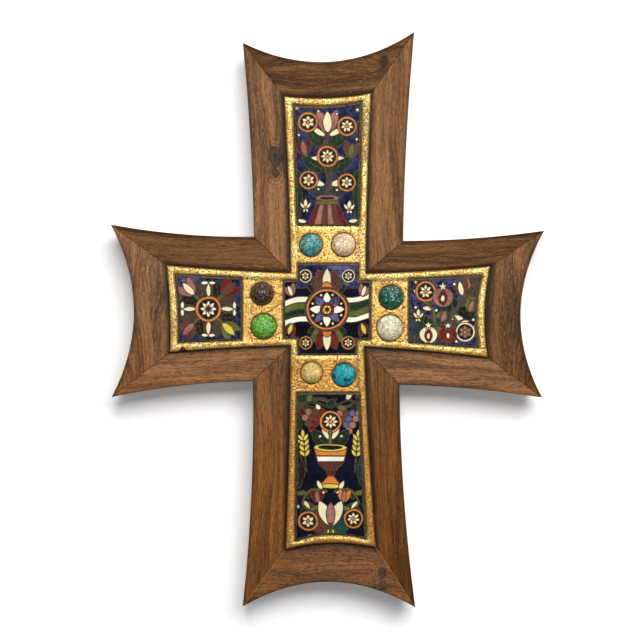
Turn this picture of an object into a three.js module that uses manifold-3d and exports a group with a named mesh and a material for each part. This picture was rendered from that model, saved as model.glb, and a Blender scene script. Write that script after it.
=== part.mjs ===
// Wall crucifix: hollow-ended cross of mitred mouldings on half-lapped boards, with a gilded
// inner cross that holds five enamel plaques and eight glass cabochons, and a ring to hang it by.
// Millimetres, +Z up, the front faces -Y. The origin is at the crossing, on the back face.
import * as THREE from 'three';
import { mergeVertices } from 'three/addons/utils/BufferGeometryUtils.js';
import Module from 'manifold-3d';

const wasm = await Module();
wasm.setup();

// Depths, all measured forward from the back face; the shoulder is the share of an eased edge's
// width at which its slope changes
const boardThickness = 10;
const mouldingOuterHeight = 12.5;
const mouldingInnerHeight = 4.5;
const mouldingEase = 1.2;
const easeShoulder = 0.3;
const giltRidgeHeight = 6.5;
const giltFieldDrop = 0.6;
const plaqueDrop = 0.5;
const plaqueThickness = 1.8;
const cabochonSeatDepth = 1.5;

// Clearances
const joinGap = 0.3;
const mitreDrawBack = 0.18;
const boardReveal = 2.5;

// Wooden outline. Reach is how far an arm's two tips lie from the crossing, skew is how much further
// the clockwise tip reaches, half is half the width of the end, shift moves the end clockwise, and
// hollow is the depth of the curve between the tips.
const woodTopReach = 165.8;
const woodTopSkew = 3.3;
const woodTopHalf = 52.3;
const woodTopShift = 0.6;
const woodTopHollow = 14.8;
const woodRightReach = 131.5;
const woodRightSkew = -0.7;
const woodRightHalf = 50.9;
const woodRightShift = 2.9;
const woodRightHollow = 13.8;
const woodBottomReach = 181.4;
const woodBottomSkew = -0.3;
const woodBottomHalf = 52.6;
const woodBottomShift = -0.9;
const woodBottomHollow = 15.3;
const woodLeftReach = 131.9;
const woodLeftSkew = 0.3;
const woodLeftHalf = 52.6;
const woodLeftShift = -0.9;
const woodLeftHollow = 13.8;

// Corners of the wooden crossing, to the side of the middle and above or below it
const woodUpperRightSide = 46.1;
const woodUpperRightUp = 41.8;
const woodLowerRightSide = 43.9;
const woodLowerRightDown = 45.9;
const woodLowerLeftSide = 45.5;
const woodLowerLeftDown = 43.7;
const woodUpperLeftSide = 44.9;
const woodUpperLeftUp = 44.3;

// How deep the long sides of the four arms curve in
const woodTopSideHollow = 1.2;
const woodRightSideHollow = 1.5;
const woodBottomSideHollow = 2.1;
const woodLeftSideHollow = 2.1;

// Widths of the mouldings, as insets of the gilded cross from the wooden outline: along each arm
// behind its tips, to each side at its tips, and both ways at the corners of the crossing
const topEndInset = 34.1;
const rightEndInset = 32.3;
const bottomEndInset = 34.5;
const leftEndInset = 34;
const topTipInset = 25.4;
const rightTipInset = 22.8;
const bottomTipInset = 24.7;
const leftTipInset = 25.8;
const upperRightSideInset = 22.5;
const upperRightUpInset = 19.8;
const lowerRightSideInset = 21.4;
const lowerRightDownInset = 22.8;
const lowerLeftSideInset = 22.6;
const lowerLeftDownInset = 21.3;
const upperLeftSideInset = 22.2;
const upperLeftUpInset = 21.9;

// Skew, shift and hollow of the gilded cross's ends, the hollow of its long sides, and its eased edge
const giltTopSkew = 1;
const giltTopShift = 0;
const giltTopHollow = 2.1;
const giltRightSkew = -0.7;
const giltRightShift = 1.6;
const giltRightHollow = 2.7;
const giltBottomSkew = 0.6;
const giltBottomShift = -1.9;
const giltBottomHollow = 3.5;
const giltLeftSkew = 1;
const giltLeftShift = 0.3;
const giltLeftHollow = 1;
const giltSideHollow = 0.6;
const giltEase = 0.9;

// Raised border of the gilded cross, from its outer edge to the field that it encloses
const borderAcrossEnd = 5;
const borderBesideEnd = 5.7;
const borderAtCrossing = 4.4;
const borderBevel = 0.5;

// Enamel plaques: how far the middle one reaches into each arm, the band of field between it and that
// arm's own plaque, and the plaques' rims
const middleTopReach = 28;
const middleRightReach = 26.4;
const middleBottomReach = 28;
const middleLeftReach = 27;
const topBand = 23.2;
const rightBand = 23.4;
const bottomBand = 23.2;
const leftBand = 25.4;
const plaqueRimWidth = 0.6;
const plaqueRimHeight = 0.2;

// Glass cabochons: distance between the two of a pair, radius, and height over the field
const cabochonApart = 19.4;
const cabochonRadius = 7.5;
const cabochonHeight = 3.4;
const girdleHeight = 0.7;

// Panel pins, driven from the back
const pinHeadRadius = 1.3;
const pinHeadThickness = 0.7;
const pinHeadSink = 0.4;
const pinShankRadius = 0.75;
const pinGrip = 5;
const pinFromEdge = 7.5;
const pinClearance = 0.15;

// Ring hanger, let into the back of the upright
const ringBelowTips = 59.8;
const ringRadius = 9;
const ringWireRadius = 0.9;
const ringClearance = 0.3;
const pocketSideRoom = 3.1;
const pocketNailRoom = 6.1;
const pocketFootRoom = 4.1;
const pocketCornerRadius = 8;
const strapThickness = 0.8;
const strapWidth = 5;
const curlSink = 0.8;
const screwDrop = 6;
const tailBelowScrew = 1.3;
const screwHeadRadius = 2.2;
const screwHeadThickness = 1;
const screwHeadFlat = 1.3;
const screwHeadEdge = 0.4;
const screwShankRadius = 1.1;
const screwTipCover = 0.5;
const screwClearance = 0.15;

// How far a cutting tool runs past a face that it cuts through, and the distance below which two
// points of an outline count as one
const overcut = 1;
const sameSpot = 0.01;

// Number of steps in curves
const endSteps = 14;
const sideSteps = 6;
const roundSteps = 28;
const pinSides = 10;
const domeSteps = 6;
const pocketSteps = 8;
const curlSteps = 12;
const ringSteps = 36;
const wireSides = 10;

// Materials
const walnut = () => new THREE.MeshStandardMaterial({ color: 0x6f4526, roughness: 0.6 });
const backWood = () => new THREE.MeshStandardMaterial({ color: 0x7d5836, roughness: 0.75 });
const goldLeaf = () => new THREE.MeshStandardMaterial({ color: 0xd9ad4a, roughness: 0.4, metalness: 0.8 });
const enamel = () => new THREE.MeshStandardMaterial({ color: 0x1b2360, roughness: 0.2 });
const brass = () => new THREE.MeshStandardMaterial({ color: 0xb08d4c, roughness: 0.35, metalness: 1 });
const steel = () => new THREE.MeshStandardMaterial({ color: 0x6d6a66, roughness: 0.45, metalness: 1 });
const glass = (color) => new THREE.MeshStandardMaterial({ color, roughness: 0.08 });

// An arm's end: reach, skew, half width, shift and hollow
const end = (reach, skew, half, shift, hollow) => ({ reach, skew, half, shift, hollow });

// The four arms: the way each one points, the way its clockwise side faces, how far the middle plaque
// reaches into it, its band of field, and its two outlines
const arms = [
  {
    name: 'top', sides: ['left', 'right'], out: [0, 1], clockwise: [1, 0],
    sideHollow: woodTopSideHollow, middleReach: middleTopReach, band: topBand,
    wood: end(woodTopReach, woodTopSkew, woodTopHalf, woodTopShift, woodTopHollow),
    gilt: end(woodTopReach - topEndInset, giltTopSkew, woodTopHalf - topTipInset,
      giltTopShift, giltTopHollow),
  },
  {
    name: 'right', sides: ['upper', 'lower'], out: [1, 0], clockwise: [0, -1],
    sideHollow: woodRightSideHollow, middleReach: middleRightReach, band: rightBand,
    wood: end(woodRightReach, woodRightSkew, woodRightHalf, woodRightShift, woodRightHollow),
    gilt: end(woodRightReach - rightEndInset, giltRightSkew, woodRightHalf - rightTipInset,
      giltRightShift, giltRightHollow),
  },
  {
    name: 'bottom', sides: ['right', 'left'], out: [0, -1], clockwise: [-1, 0],
    sideHollow: woodBottomSideHollow, middleReach: middleBottomReach, band: bottomBand,
    wood: end(woodBottomReach, woodBottomSkew, woodBottomHalf, woodBottomShift, woodBottomHollow),
    gilt: end(woodBottomReach - bottomEndInset, giltBottomSkew, woodBottomHalf - bottomTipInset,
      giltBottomShift, giltBottomHollow),
  },
  {
    name: 'left', sides: ['lower', 'upper'], out: [-1, 0], clockwise: [0, 1],
    sideHollow: woodLeftSideHollow, middleReach: middleLeftReach, band: leftBand,
    wood: end(woodLeftReach, woodLeftSkew, woodLeftHalf, woodLeftShift, woodLeftHollow),
    gilt: end(woodLeftReach - leftEndInset, giltLeftSkew, woodLeftHalf - leftTipInset,
      giltLeftShift, giltLeftHollow),
  },
];

// Corners of the crossing, each just clockwise of its arm: upper right, lower right, and so on
const woodCrossing = [
  [woodUpperRightSide, woodUpperRightUp],
  [woodLowerRightSide, -woodLowerRightDown],
  [-woodLowerLeftSide, -woodLowerLeftDown],
  [-woodUpperLeftSide, woodUpperLeftUp],
];
const crossingInsets = [
  [upperRightSideInset, upperRightUpInset],
  [lowerRightSideInset, lowerRightDownInset],
  [lowerLeftSideInset, lowerLeftDownInset],
  [upperLeftSideInset, upperLeftUpInset],
];

// A point moved towards the two axes by these amounts
const towardsAxes = ([x, z], [side, up]) => [x - Math.sign(x) * side, z - Math.sign(z) * up];
const giltCrossing = woodCrossing.map((corner, i) => towardsAxes(corner, crossingInsets[i]));

// Plan points are [x, z] seen from the front. This one is so far out along an arm and so far clockwise.
function onArm({ out, clockwise }, far, aside) {
  return [out[0] * far + clockwise[0] * aside, out[1] * far + clockwise[1] * aside];
}

// The two corners of an arm's end, anticlockwise one first
function endCorners(arm, { reach, skew, half, shift }, trimAlong = 0, trimAcross = 0) {
  return [
    onArm(arm, reach - skew - trimAlong, shift - half + trimAcross),
    onArm(arm, reach + skew - trimAlong, shift + half - trimAcross),
  ];
}

const after = (list, i) => list[(i + 1) % list.length];
const before = (list, i) => list[(i + list.length - 1) % list.length];
const mix = (a, b, t) => [a[0] + (b[0] - a[0]) * t, a[1] + (b[1] - a[1]) * t];

// Points of a curve from a to b whose middle is moved to the right of the way by hollow
function curve(a, b, hollow, steps) {
  const length = Math.hypot(b[0] - a[0], b[1] - a[1]);
  const right = [(b[1] - a[1]) / length, (a[0] - b[0]) / length];
  const points = [];
  for (let step = 0; step <= steps; step++) {
    const t = step / steps;
    const depth = 4 * hollow * t * (1 - t);
    const [x, z] = mix(a, b, t);
    points.push([x + right[0] * depth, z + right[1] * depth]);
  }
  return points;
}

// The twelve edges of a cross, clockwise: for each arm its anticlockwise side, end and clockwise side
function crossEdges(outline, crossing, sideHollow) {
  return arms.flatMap((arm, i) => {
    const [first, second] = endCorners(arm, arm[outline]);
    return [
      curve(before(crossing, i), first, sideHollow(arm), sideSteps),
      curve(first, second, arm[outline].hollow, endSteps),
      curve(second, crossing[i], sideHollow(arm), sideSteps),
    ];
  });
}

const joinEdges = (edges) => edges.flatMap((edge) => edge.slice(0, -1));

// A clockwise loop moved inwards by a distance, or outwards by a negative one
function inset(loop, distance) {
  return loop.map((point, i) => {
    const [m, n] = [[before(loop, i), point], [point, after(loop, i)]].map(([a, b]) => {
      const length = Math.hypot(b[0] - a[0], b[1] - a[1]);
      return [(b[1] - a[1]) / length, (a[0] - b[0]) / length];
    });
    const share = distance / (1 + m[0] * n[0] + m[1] * n[1]);
    return [point[0] + (m[0] + n[0]) * share, point[1] + (m[1] + n[1]) * share];
  });
}

// A plan loop at a depth forward of the back face
const atDepth = (loop, depth) => loop.map(([x, z]) => [x, -depth, z]);

// Triangles of a flat ring of points, turning the same way as the ring
function capTriangles(ring) {
  const normal = new THREE.Vector3();
  const corners = ring.map((point) => new THREE.Vector3(...point));
  corners.forEach((point, i) => {
    normal.add(new THREE.Vector3().crossVectors(point, after(corners, i)));
  });
  normal.normalize();
  const across = new THREE.Vector3(normal.y, normal.z, normal.x).cross(normal).normalize();
  const up = new THREE.Vector3().crossVectors(normal, across);
  const flat = corners.map((point) => new THREE.Vector2(point.dot(across), point.dot(up)));
  const turn = (a, b, c) => (b.x - a.x) * (c.y - a.y) - (b.y - a.y) * (c.x - a.x);
  return THREE.ShapeUtils.triangulateShape(flat, []).map(([a, b, c]) => (
    turn(flat[a], flat[b], flat[c]) > 0 ? [a, b, c] : [a, c, b]
  ));
}

function volume(points, triangles) {
  const [a, b, c] = [new THREE.Vector3(), new THREE.Vector3(), new THREE.Vector3()];
  return triangles.reduce((sum, [i, j, k]) => {
    a.set(...points[i]);
    b.set(...points[j]);
    c.set(...points[k]);
    return sum + a.dot(b.cross(c)) / 6;
  }, 0);
}

// A closed solid through rings that have the same number of points
function loft(rings) {
  const size = rings[0].length;
  const points = rings.flat();
  const lastStart = (rings.length - 1) * size;
  const triangles = capTriangles(rings[0]).map(([a, b, c]) => [a, c, b]);
  for (let start = 0; start < lastStart; start += size) {
    for (let i = 0; i < size; i++) {
      const a = start + i;
      const b = start + (i + 1) % size;
      triangles.push([a, b, b + size], [a, b + size, a + size]);
    }
  }
  triangles.push(...capTriangles(rings.at(-1)).map((face) => face.map((i) => i + lastStart)));
  const outwards = volume(points, triangles) > 0;
  const geometry = new THREE.BufferGeometry();
  geometry.setAttribute('position', new THREE.Float32BufferAttribute(points.flat(), 3));
  geometry.setIndex(triangles.flatMap(([a, b, c]) => (outwards ? [a, b, c] : [a, c, b])));
  return geometry;
}

// A plate of a plan outline between two depths
const slab = (loop, back, front) => loft([atDepth(loop, back), atDepth(loop, front)]);

// Turned solid about a front-to-back axis; the profile's points are [radius, depth], back to front
function turned(profile, steps = roundSteps) {
  const points = profile.map(([radius, depth]) => new THREE.Vector2(radius, -depth)).reverse();
  return new THREE.LatheGeometry(points, steps);
}

function toSolid(geometry) {
  const plain = geometry.clone();
  plain.deleteAttribute('normal');
  plain.deleteAttribute('uv');
  const merged = mergeVertices(plain);
  const corners = merged.index.array;
  const kept = [];
  for (let i = 0; i < corners.length; i += 3) {
    const [a, b, c] = corners.slice(i, i + 3);
    if (a !== b && b !== c && c !== a) kept.push(a, b, c);
  }
  return new wasm.Manifold(new wasm.Mesh({
    numProp: 3,
    vertProperties: new Float32Array(merged.attributes.position.array),
    triVerts: new Uint32Array(kept),
  }));
}

function toGeometry(solid) {
  const mesh = solid.getMesh();
  const geometry = new THREE.BufferGeometry();
  geometry.setAttribute('position', new THREE.BufferAttribute(mesh.vertProperties, 3));
  geometry.setIndex(new THREE.BufferAttribute(mesh.triVerts, 1));
  return geometry;
}

// One geometry with others cut out of it
function cut(geometry, cutters) {
  const solid = cutters.reduce((rest, cutter) => rest.subtract(toSolid(cutter)), toSolid(geometry));
  return toGeometry(solid);
}

const moved = (geometry, [x, z], depth = 0) => geometry.translate(x, -depth, z);

const cross = new THREE.Group();

function addPiece(name, geometry, material, place = [0, 0], depth = 0) {
  const mesh = new THREE.Mesh(geometry, material);
  mesh.name = name;
  mesh.position.set(place[0], -depth, place[1]);
  geometry.computeVertexNormals();
  cross.add(mesh);
}

// Outlines shared by the pieces
const woodEdges = crossEdges('wood', woodCrossing, (arm) => arm.sideHollow);
const giltEdges = crossEdges('gilt', giltCrossing, () => giltSideHollow);
const woodLoop = joinEdges(woodEdges);
const giltLoop = joinEdges(giltEdges);
const boardLoop = inset(woodLoop, boardReveal);
const mouldingInnerLoop = inset(giltLoop, -joinGap);

// The edges' names and the arms that they belong to
const edges = arms.flatMap((arm) => [
  { arm, name: arm.name + '_' + arm.sides[0] },
  { arm, name: arm.name + '_end' },
  { arm, name: arm.name + '_' + arm.sides[1] },
]);

// The stretch of a loop that belongs to one edge, with both its end points
function edgeOf(loop, i) {
  const start = joinEdges(woodEdges.slice(0, i)).length;
  return woodEdges[i].map((point, step) => loop[(start + step) % loop.length]);
}

// Depths of the front surfaces
const giltRidgeDepth = boardThickness + giltRidgeHeight;
const giltFieldDepth = giltRidgeDepth - giltFieldDrop;
const plaqueFaceDepth = giltFieldDepth - plaqueDrop;
const plaqueBackDepth = plaqueFaceDepth - plaqueThickness;
const cabochonSeat = giltFieldDepth - cabochonSeatDepth;
const beyondFront = giltRidgeDepth + overcut;

// Panel pins: one in the middle of each moulding, close to its thick outer edge
const pinTip = boardThickness + pinGrip;
const pinPlaces = edges.map((edge, i) => {
  const outer = edgeOf(woodLoop, i);
  const inner = edgeOf(mouldingInnerLoop, i);
  const middle = Math.floor(outer.length / 2);
  const [from, to] = [outer[middle], inner[middle]];
  return mix(from, to, pinFromEdge / Math.hypot(to[0] - from[0], to[1] - from[1]));
});

function pinGeometry() {
  return turned([
    [0, pinHeadSink],
    [pinHeadRadius, pinHeadSink],
    [pinHeadRadius, pinHeadSink + pinHeadThickness],
    [pinShankRadius, pinHeadSink + pinHeadThickness],
    [pinShankRadius, pinTip - pinShankRadius],
    [0, pinTip],
  ], pinSides);
}

// The hole that a pin leaves: its head is driven below the back face
function pinHole(place) {
  const hole = turned([
    [0, -overcut],
    [pinHeadRadius + pinClearance, -overcut],
    [pinHeadRadius + pinClearance, pinHeadSink + pinHeadThickness],
    [pinShankRadius + pinClearance, pinHeadSink + pinHeadThickness],
    [pinShankRadius + pinClearance, pinTip - pinShankRadius + pinClearance],
    [0, pinTip + pinClearance * 2],
  ], pinSides);
  return moved(hole, place);
}

const pinHoles = pinPlaces.map(pinHole);

// Mouldings: each tapers from a high eased outer edge to a low inner one, and meets its neighbours
// in mitres that run from the tips and nooks of the wooden outline to those of the gilded cross
function mouldingSection(outer, inner) {
  const width = Math.hypot(inner[0] - outer[0], inner[1] - outer[1]);
  const eased = mix(outer, inner, mouldingEase / width);
  const slope = (mouldingOuterHeight - mouldingInnerHeight) / width;
  const easedHeight = mouldingOuterHeight - mouldingEase * slope;
  const at = ([x, z], height) => [x, -(boardThickness + height), z];
  return [
    at(outer, 0),
    at(outer, mouldingOuterHeight - mouldingEase),
    at(mix(outer, eased, easeShoulder), mouldingOuterHeight - mouldingEase * easeShoulder),
    at(eased, easedHeight),
    at(inner, mouldingInnerHeight),
    at(inner, 0),
  ];
}

// An edge's points with both ends drawn back, to leave half of a join's gap at each mitre
function drawnBack(edge) {
  const last = edge.length - 1;
  const length = Math.hypot(edge[last][0] - edge[0][0], edge[last][1] - edge[0][1]);
  const share = mitreDrawBack / length * last;
  const ends = [mix(edge[0], edge[1], share), mix(edge[last], edge[last - 1], share)];
  return [ends[0], ...edge.slice(1, last), ends[1]];
}

edges.forEach((edge, i) => {
  const outer = drawnBack(edgeOf(woodLoop, i));
  const inner = drawnBack(edgeOf(mouldingInnerLoop, i));
  const moulding = loft(outer.map((point, step) => mouldingSection(point, inner[step])));
  addPiece(edge.name + '_moulding', cut(moulding, [pinHoles[i]]), walnut());
});

// Ring hanger: the curl of the strap is as deep as the pocket lets it be, and the ring's wire bends
// away from the curl's middle by its sag
const ringSag = ringRadius - Math.sqrt(ringRadius ** 2 - (strapWidth / 2) ** 2);
const curlBore = ringWireRadius + ringSag + ringClearance;
const curlRadius = curlBore + strapThickness;
const pocketDepth = 2 * curlRadius + curlSink;
const pivotDepth = pocketDepth - curlRadius;
const ringHeight = woodTopReach - ringBelowTips;
const strapTailDepth = pocketDepth - strapThickness;
const screwPlace = [0, ringHeight - screwDrop];
const screwTip = boardThickness - screwTipCover;

function screwGeometry() {
  return turned([
    [0, strapTailDepth - screwHeadThickness],
    [screwHeadFlat, strapTailDepth - screwHeadThickness],
    [screwHeadRadius, strapTailDepth - screwHeadEdge],
    [screwHeadRadius, strapTailDepth],
    [screwShankRadius, strapTailDepth],
    [screwShankRadius, screwTip - screwShankRadius],
    [0, screwTip],
  ]);
}

// The screw's way through the strap and into the upright
function screwHole() {
  const radius = screwShankRadius + screwClearance;
  const hole = turned([
    [0, 0],
    [radius, 0],
    [radius, screwTip - screwShankRadius + screwClearance],
    [0, screwTip + screwClearance],
  ]);
  return moved(hole, screwPlace);
}

// A shape stood up: its height runs up, and its thickness runs forward from a depth
function standing(shape, depth, thickness) {
  const settings = { depth: thickness, bevelEnabled: false, curveSegments: pocketSteps };
  return new THREE.ExtrudeGeometry(shape, settings).rotateX(Math.PI / 2).translate(0, -depth, 0);
}

// The pocket that hides the hanger, routed into the back of the upright
function hangerPocket() {
  const swing = 2 * ringRadius + ringWireRadius;
  const low = ringHeight - swing - pocketFootRoom + pocketCornerRadius;
  const high = ringHeight + swing + pocketNailRoom - pocketCornerRadius;
  const side = ringRadius + ringWireRadius + pocketSideRoom - pocketCornerRadius;
  const shape = new THREE.Shape();
  shape.absarc(side, high, pocketCornerRadius, 0, Math.PI / 2, false);
  shape.absarc(-side, high, pocketCornerRadius, Math.PI / 2, Math.PI, false);
  shape.absarc(-side, low, pocketCornerRadius, Math.PI, Math.PI * 1.5, false);
  shape.absarc(side, low, pocketCornerRadius, Math.PI * 1.5, Math.PI * 2, false);
  return standing(shape, -overcut, pocketDepth + overcut);
}

// The two boards, halved into each other at the crossing
function boardOutline(names) {
  const loop = edges.flatMap((edge, i) => (names.includes(edge.arm.name) ? edgeOf(boardLoop, i) : []));
  return loop.filter((point, i) => {
    const [x, z] = before(loop, i);
    return Math.hypot(point[0] - x, point[1] - z) > sameSpot;
  });
}

function addBoards() {
  const lapDepth = boardThickness / 2;
  const upright = boardOutline(['top', 'bottom']);
  const crossbar = boardOutline(['right', 'left']);
  const frontLap = slab(inset(crossbar, -joinGap), lapDepth, boardThickness + overcut);
  const backLap = slab(inset(upright, -joinGap), -overcut, lapDepth);
  const pinHolesIn = (names) => pinHoles.filter((hole, i) => names.includes(edges[i].arm.name));
  const uprightCuts = [frontLap, hangerPocket(), screwHole(), ...pinHolesIn(['top', 'bottom'])];
  const crossbarCuts = [backLap, ...pinHolesIn(['right', 'left'])];
  addPiece('upright_board', cut(slab(upright, 0, boardThickness), uprightCuts), backWood());
  addPiece('cross_board', cut(slab(crossbar, 0, boardThickness), crossbarCuts), backWood());
}

addBoards();

pinPlaces.forEach((place, i) => addPiece(edges[i].name + '_pin', pinGeometry(), steel(), place));

// The field that the gilded border encloses
const fieldCrossing = giltCrossing.map((corner) => towardsAxes(corner, [borderAtCrossing, borderAtCrossing]));

// The field's end on an arm, drawn in by a clearance
function fieldEnd(arm, clearance = 0) {
  const trim = [borderAcrossEnd + clearance, borderBesideEnd + clearance];
  const [first, second] = endCorners(arm, arm.gilt, ...trim);
  return curve(first, second, arm.gilt.hollow, endSteps);
}

const fieldLoop = arms.flatMap((arm, i) => [...fieldEnd(arm), fieldCrossing[i]]);

// How far a point lies along an arm, and to its clockwise side
const along = (arm, point) => point[0] * arm.out[0] + point[1] * arm.out[1];
const across = (arm, point) => point[0] * arm.clockwise[0] + point[1] * arm.clockwise[1];

// Arm plaques fill the outer part of the field; their sides run on towards the crossing's corners
function armPlaqueLoop(arm, i) {
  const start = arm.middleReach + arm.band;
  const outer = fieldEnd(arm, joinGap);
  const innerCorner = (corner, target, inwards) => {
    const t = (along(arm, corner) - start) / (along(arm, corner) - along(arm, target));
    return onArm(arm, start, across(arm, mix(corner, target, t)) + inwards);
  };
  return [
    innerCorner(outer[0], before(fieldCrossing, i), joinGap),
    ...outer,
    innerCorner(outer.at(-1), fieldCrossing[i], -joinGap),
  ];
}

// The middle plaque is a short cross whose nooks follow the border's corners
function middlePlaqueLoop() {
  return arms.flatMap((arm, i) => [
    onArm(arm, arm.middleReach, across(arm, before(fieldCrossing, i)) + joinGap),
    onArm(arm, arm.middleReach, across(arm, fieldCrossing[i]) - joinGap),
    towardsAxes(fieldCrossing[i], [joinGap, joinGap]),
  ]);
}

const plaqueLoops = [...arms.map(armPlaqueLoop), middlePlaqueLoop()];
const plaqueNames = [...arms.map((arm) => arm.name + '_plaque'), 'middle_plaque'];

// Plaques: a plate with a thin raised rim around the enamel
function plaqueGeometry(loop) {
  const rimDepth = plaqueFaceDepth + plaqueRimHeight;
  return loft([
    atDepth(loop, plaqueBackDepth),
    atDepth(loop, rimDepth),
    atDepth(inset(loop, plaqueRimWidth), rimDepth),
    atDepth(inset(loop, plaqueRimWidth + plaqueRimHeight), plaqueFaceDepth),
  ]);
}

plaqueLoops.forEach((loop, i) => addPiece(plaqueNames[i], plaqueGeometry(loop), enamel()));

// Cabochons: which arm holds each one and on which side of its middle, its colour, and how its
// place, radius and height differ from the common ones
const cabochons = [
  { name: 'turquoise', arm: 'top', side: -1, color: 0x1f8ea0, outer: -0.2, aside: 0.5, wider: -0.6 },
  { name: 'cream', arm: 'top', side: 1, color: 0xcbb98f, aside: 0.1, wider: -0.3 },
  { name: 'teal', arm: 'right', side: -1, color: 0x0f5a4c, outer: 0.8, aside: -2.3, wider: -0.2 },
  { name: 'white', arm: 'right', side: 1, color: 0xcfcdbb, outer: 0.1, aside: 1.7, wider: 0.4 },
  { name: 'cyan', arm: 'bottom', side: -1, color: 0x18a6bf, outer: 0.6, aside: 0.3, wider: -0.4 },
  { name: 'straw', arm: 'bottom', side: 1, color: 0xcdbb6a, outer: -0.7, aside: 0.1, wider: -0.95 },
  { name: 'green', arm: 'left', side: -1, color: 0x4fa02f, outer: -0.5, aside: 0.7, wider: 0.1 },
  {
    name: 'garnet', arm: 'left', side: 1, color: 0x24100f, outer: 0.5, aside: -0.2, wider: -0.8,
    taller: 1.8,
  },
];

function cabochonPlace({ arm, side, outer = 0, aside }) {
  const holder = arms.find((candidate) => candidate.name === arm);
  const middle = holder.middleReach + holder.band / 2;
  return onArm(holder, middle + outer, side * (cabochonApart / 2 + aside));
}

function cabochonGeometry(radius, height) {
  const profile = [[0, 0], [radius, 0], [radius, cabochonSeatDepth + girdleHeight]];
  for (let step = 1; step < domeSteps; step++) {
    const angle = step / domeSteps * Math.PI / 2;
    const rise = girdleHeight + (height - girdleHeight) * Math.sin(angle);
    profile.push([radius * Math.cos(angle), cabochonSeatDepth + rise]);
  }
  profile.push([0, cabochonSeatDepth + height]);
  return turned(profile);
}

cabochons.forEach((stone) => {
  const geometry = cabochonGeometry(cabochonRadius + stone.wider, cabochonHeight + (stone.taller ?? 0));
  addPiece(stone.name + '_cabochon', geometry, glass(stone.color), cabochonPlace(stone), cabochonSeat);
});

// Gilded cross: an eased plate with the field sunk inside its border, a recess for each plaque and
// a round seat for each cabochon
function addGildedCross() {
  const plate = loft([
    atDepth(giltLoop, boardThickness),
    atDepth(giltLoop, giltRidgeDepth - giltEase),
    atDepth(inset(giltLoop, giltEase * easeShoulder), giltRidgeDepth - giltEase * easeShoulder),
    atDepth(inset(giltLoop, giltEase), giltRidgeDepth),
  ]);
  const field = loft([
    atDepth(fieldLoop, giltFieldDepth),
    atDepth(inset(fieldLoop, -borderBevel), giltRidgeDepth),
    atDepth(inset(fieldLoop, -borderBevel), beyondFront),
  ]);
  const recesses = plaqueLoops.map((loop) => slab(inset(loop, -joinGap), plaqueBackDepth, beyondFront));
  const seats = cabochons.map((stone) => {
    const radius = cabochonRadius + stone.wider + joinGap;
    const seat = turned([[0, cabochonSeat], [radius, cabochonSeat], [radius, beyondFront], [0, beyondFront]]);
    return moved(seat, cabochonPlace(stone));
  });
  addPiece('gilded_cross', cut(plate, [field, ...recesses, ...seats]), goldLeaf());
}

addGildedCross();

// Hanger strap: a curl around the ring's wire, with a flat tail screwed to the floor of the pocket.
// It is drawn from the side, with the back to the right, and extruded across the cross.
function strapGeometry() {
  const settings = { depth: strapWidth, bevelEnabled: false, curveSegments: curlSteps };
  const tailLength = screwDrop + screwHeadRadius + tailBelowScrew;
  const curl = new THREE.Shape().absarc(0, 0, curlRadius, 0, Math.PI * 2, false);
  curl.holes.push(new THREE.Path().absarc(0, 0, curlBore, 0, Math.PI * 2, true));
  const tail = new THREE.Shape([
    new THREE.Vector2(-curlRadius, -tailLength),
    new THREE.Vector2(-curlBore, -tailLength),
    new THREE.Vector2(-curlBore, 0),
    new THREE.Vector2(-curlRadius, 0),
  ]);
  const across = new THREE.Matrix4().makeBasis(
    new THREE.Vector3(0, 1, 0),
    new THREE.Vector3(0, 0, 1),
    new THREE.Vector3(1, 0, 0),
  );
  const [curlPart, tailPart] = [curl, tail].map((shape) => {
    const part = new THREE.ExtrudeGeometry(shape, settings).translate(0, 0, -strapWidth / 2);
    return toSolid(part.applyMatrix4(across).translate(0, -pivotDepth, ringHeight));
  });
  return toGeometry(curlPart.add(tailPart).subtract(toSolid(screwHole())));
}

function addHanger() {
  const ring = new THREE.TorusGeometry(ringRadius, ringWireRadius, wireSides, ringSteps).rotateX(Math.PI / 2);
  addPiece('hanger_strap', strapGeometry(), brass());
  addPiece('hanger_ring', ring, brass(), [0, ringHeight - ringRadius], pivotDepth);
  addPiece('hanger_screw', screwGeometry(), brass(), screwPlace);
}

addHanger();

export default cross;
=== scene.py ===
"""Looks of the wall crucifix: oiled wooden mouldings, gilded inner cross, enamel plaques and glass
cabochons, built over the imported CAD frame. Plan points are (x, z) in millimetres, seen from the
front; depths are millimetres forward of the back face."""

import math

import bmesh
import bpy
import numpy as np
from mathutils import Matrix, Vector, noise
from mathutils.geometry import delaunay_2d_cdt


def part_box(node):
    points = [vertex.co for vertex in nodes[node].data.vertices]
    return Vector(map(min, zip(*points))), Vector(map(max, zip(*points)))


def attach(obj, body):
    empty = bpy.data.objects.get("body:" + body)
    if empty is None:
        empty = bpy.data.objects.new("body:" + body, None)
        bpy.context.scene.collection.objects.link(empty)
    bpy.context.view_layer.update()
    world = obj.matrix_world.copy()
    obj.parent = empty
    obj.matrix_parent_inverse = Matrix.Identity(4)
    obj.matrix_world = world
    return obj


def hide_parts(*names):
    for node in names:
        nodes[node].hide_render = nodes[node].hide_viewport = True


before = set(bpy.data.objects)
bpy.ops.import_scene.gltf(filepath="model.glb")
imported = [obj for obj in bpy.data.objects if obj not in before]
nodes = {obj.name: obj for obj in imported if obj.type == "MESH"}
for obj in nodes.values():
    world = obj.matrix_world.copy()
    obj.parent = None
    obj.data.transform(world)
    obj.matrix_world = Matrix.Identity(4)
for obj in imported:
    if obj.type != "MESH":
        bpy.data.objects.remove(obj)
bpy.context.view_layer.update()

MM = 0.001
# Depths that differ by less than this count as the same, in millimetres
SAME = 0.02
# Keeps a sharp corner of a loop from moving too far when the loop is grown
MITRE_LIMIT = 0.35

# Plan geometry


def nodes_ending(ending):
    return sorted(name for name in nodes if name.endswith(ending))


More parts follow.
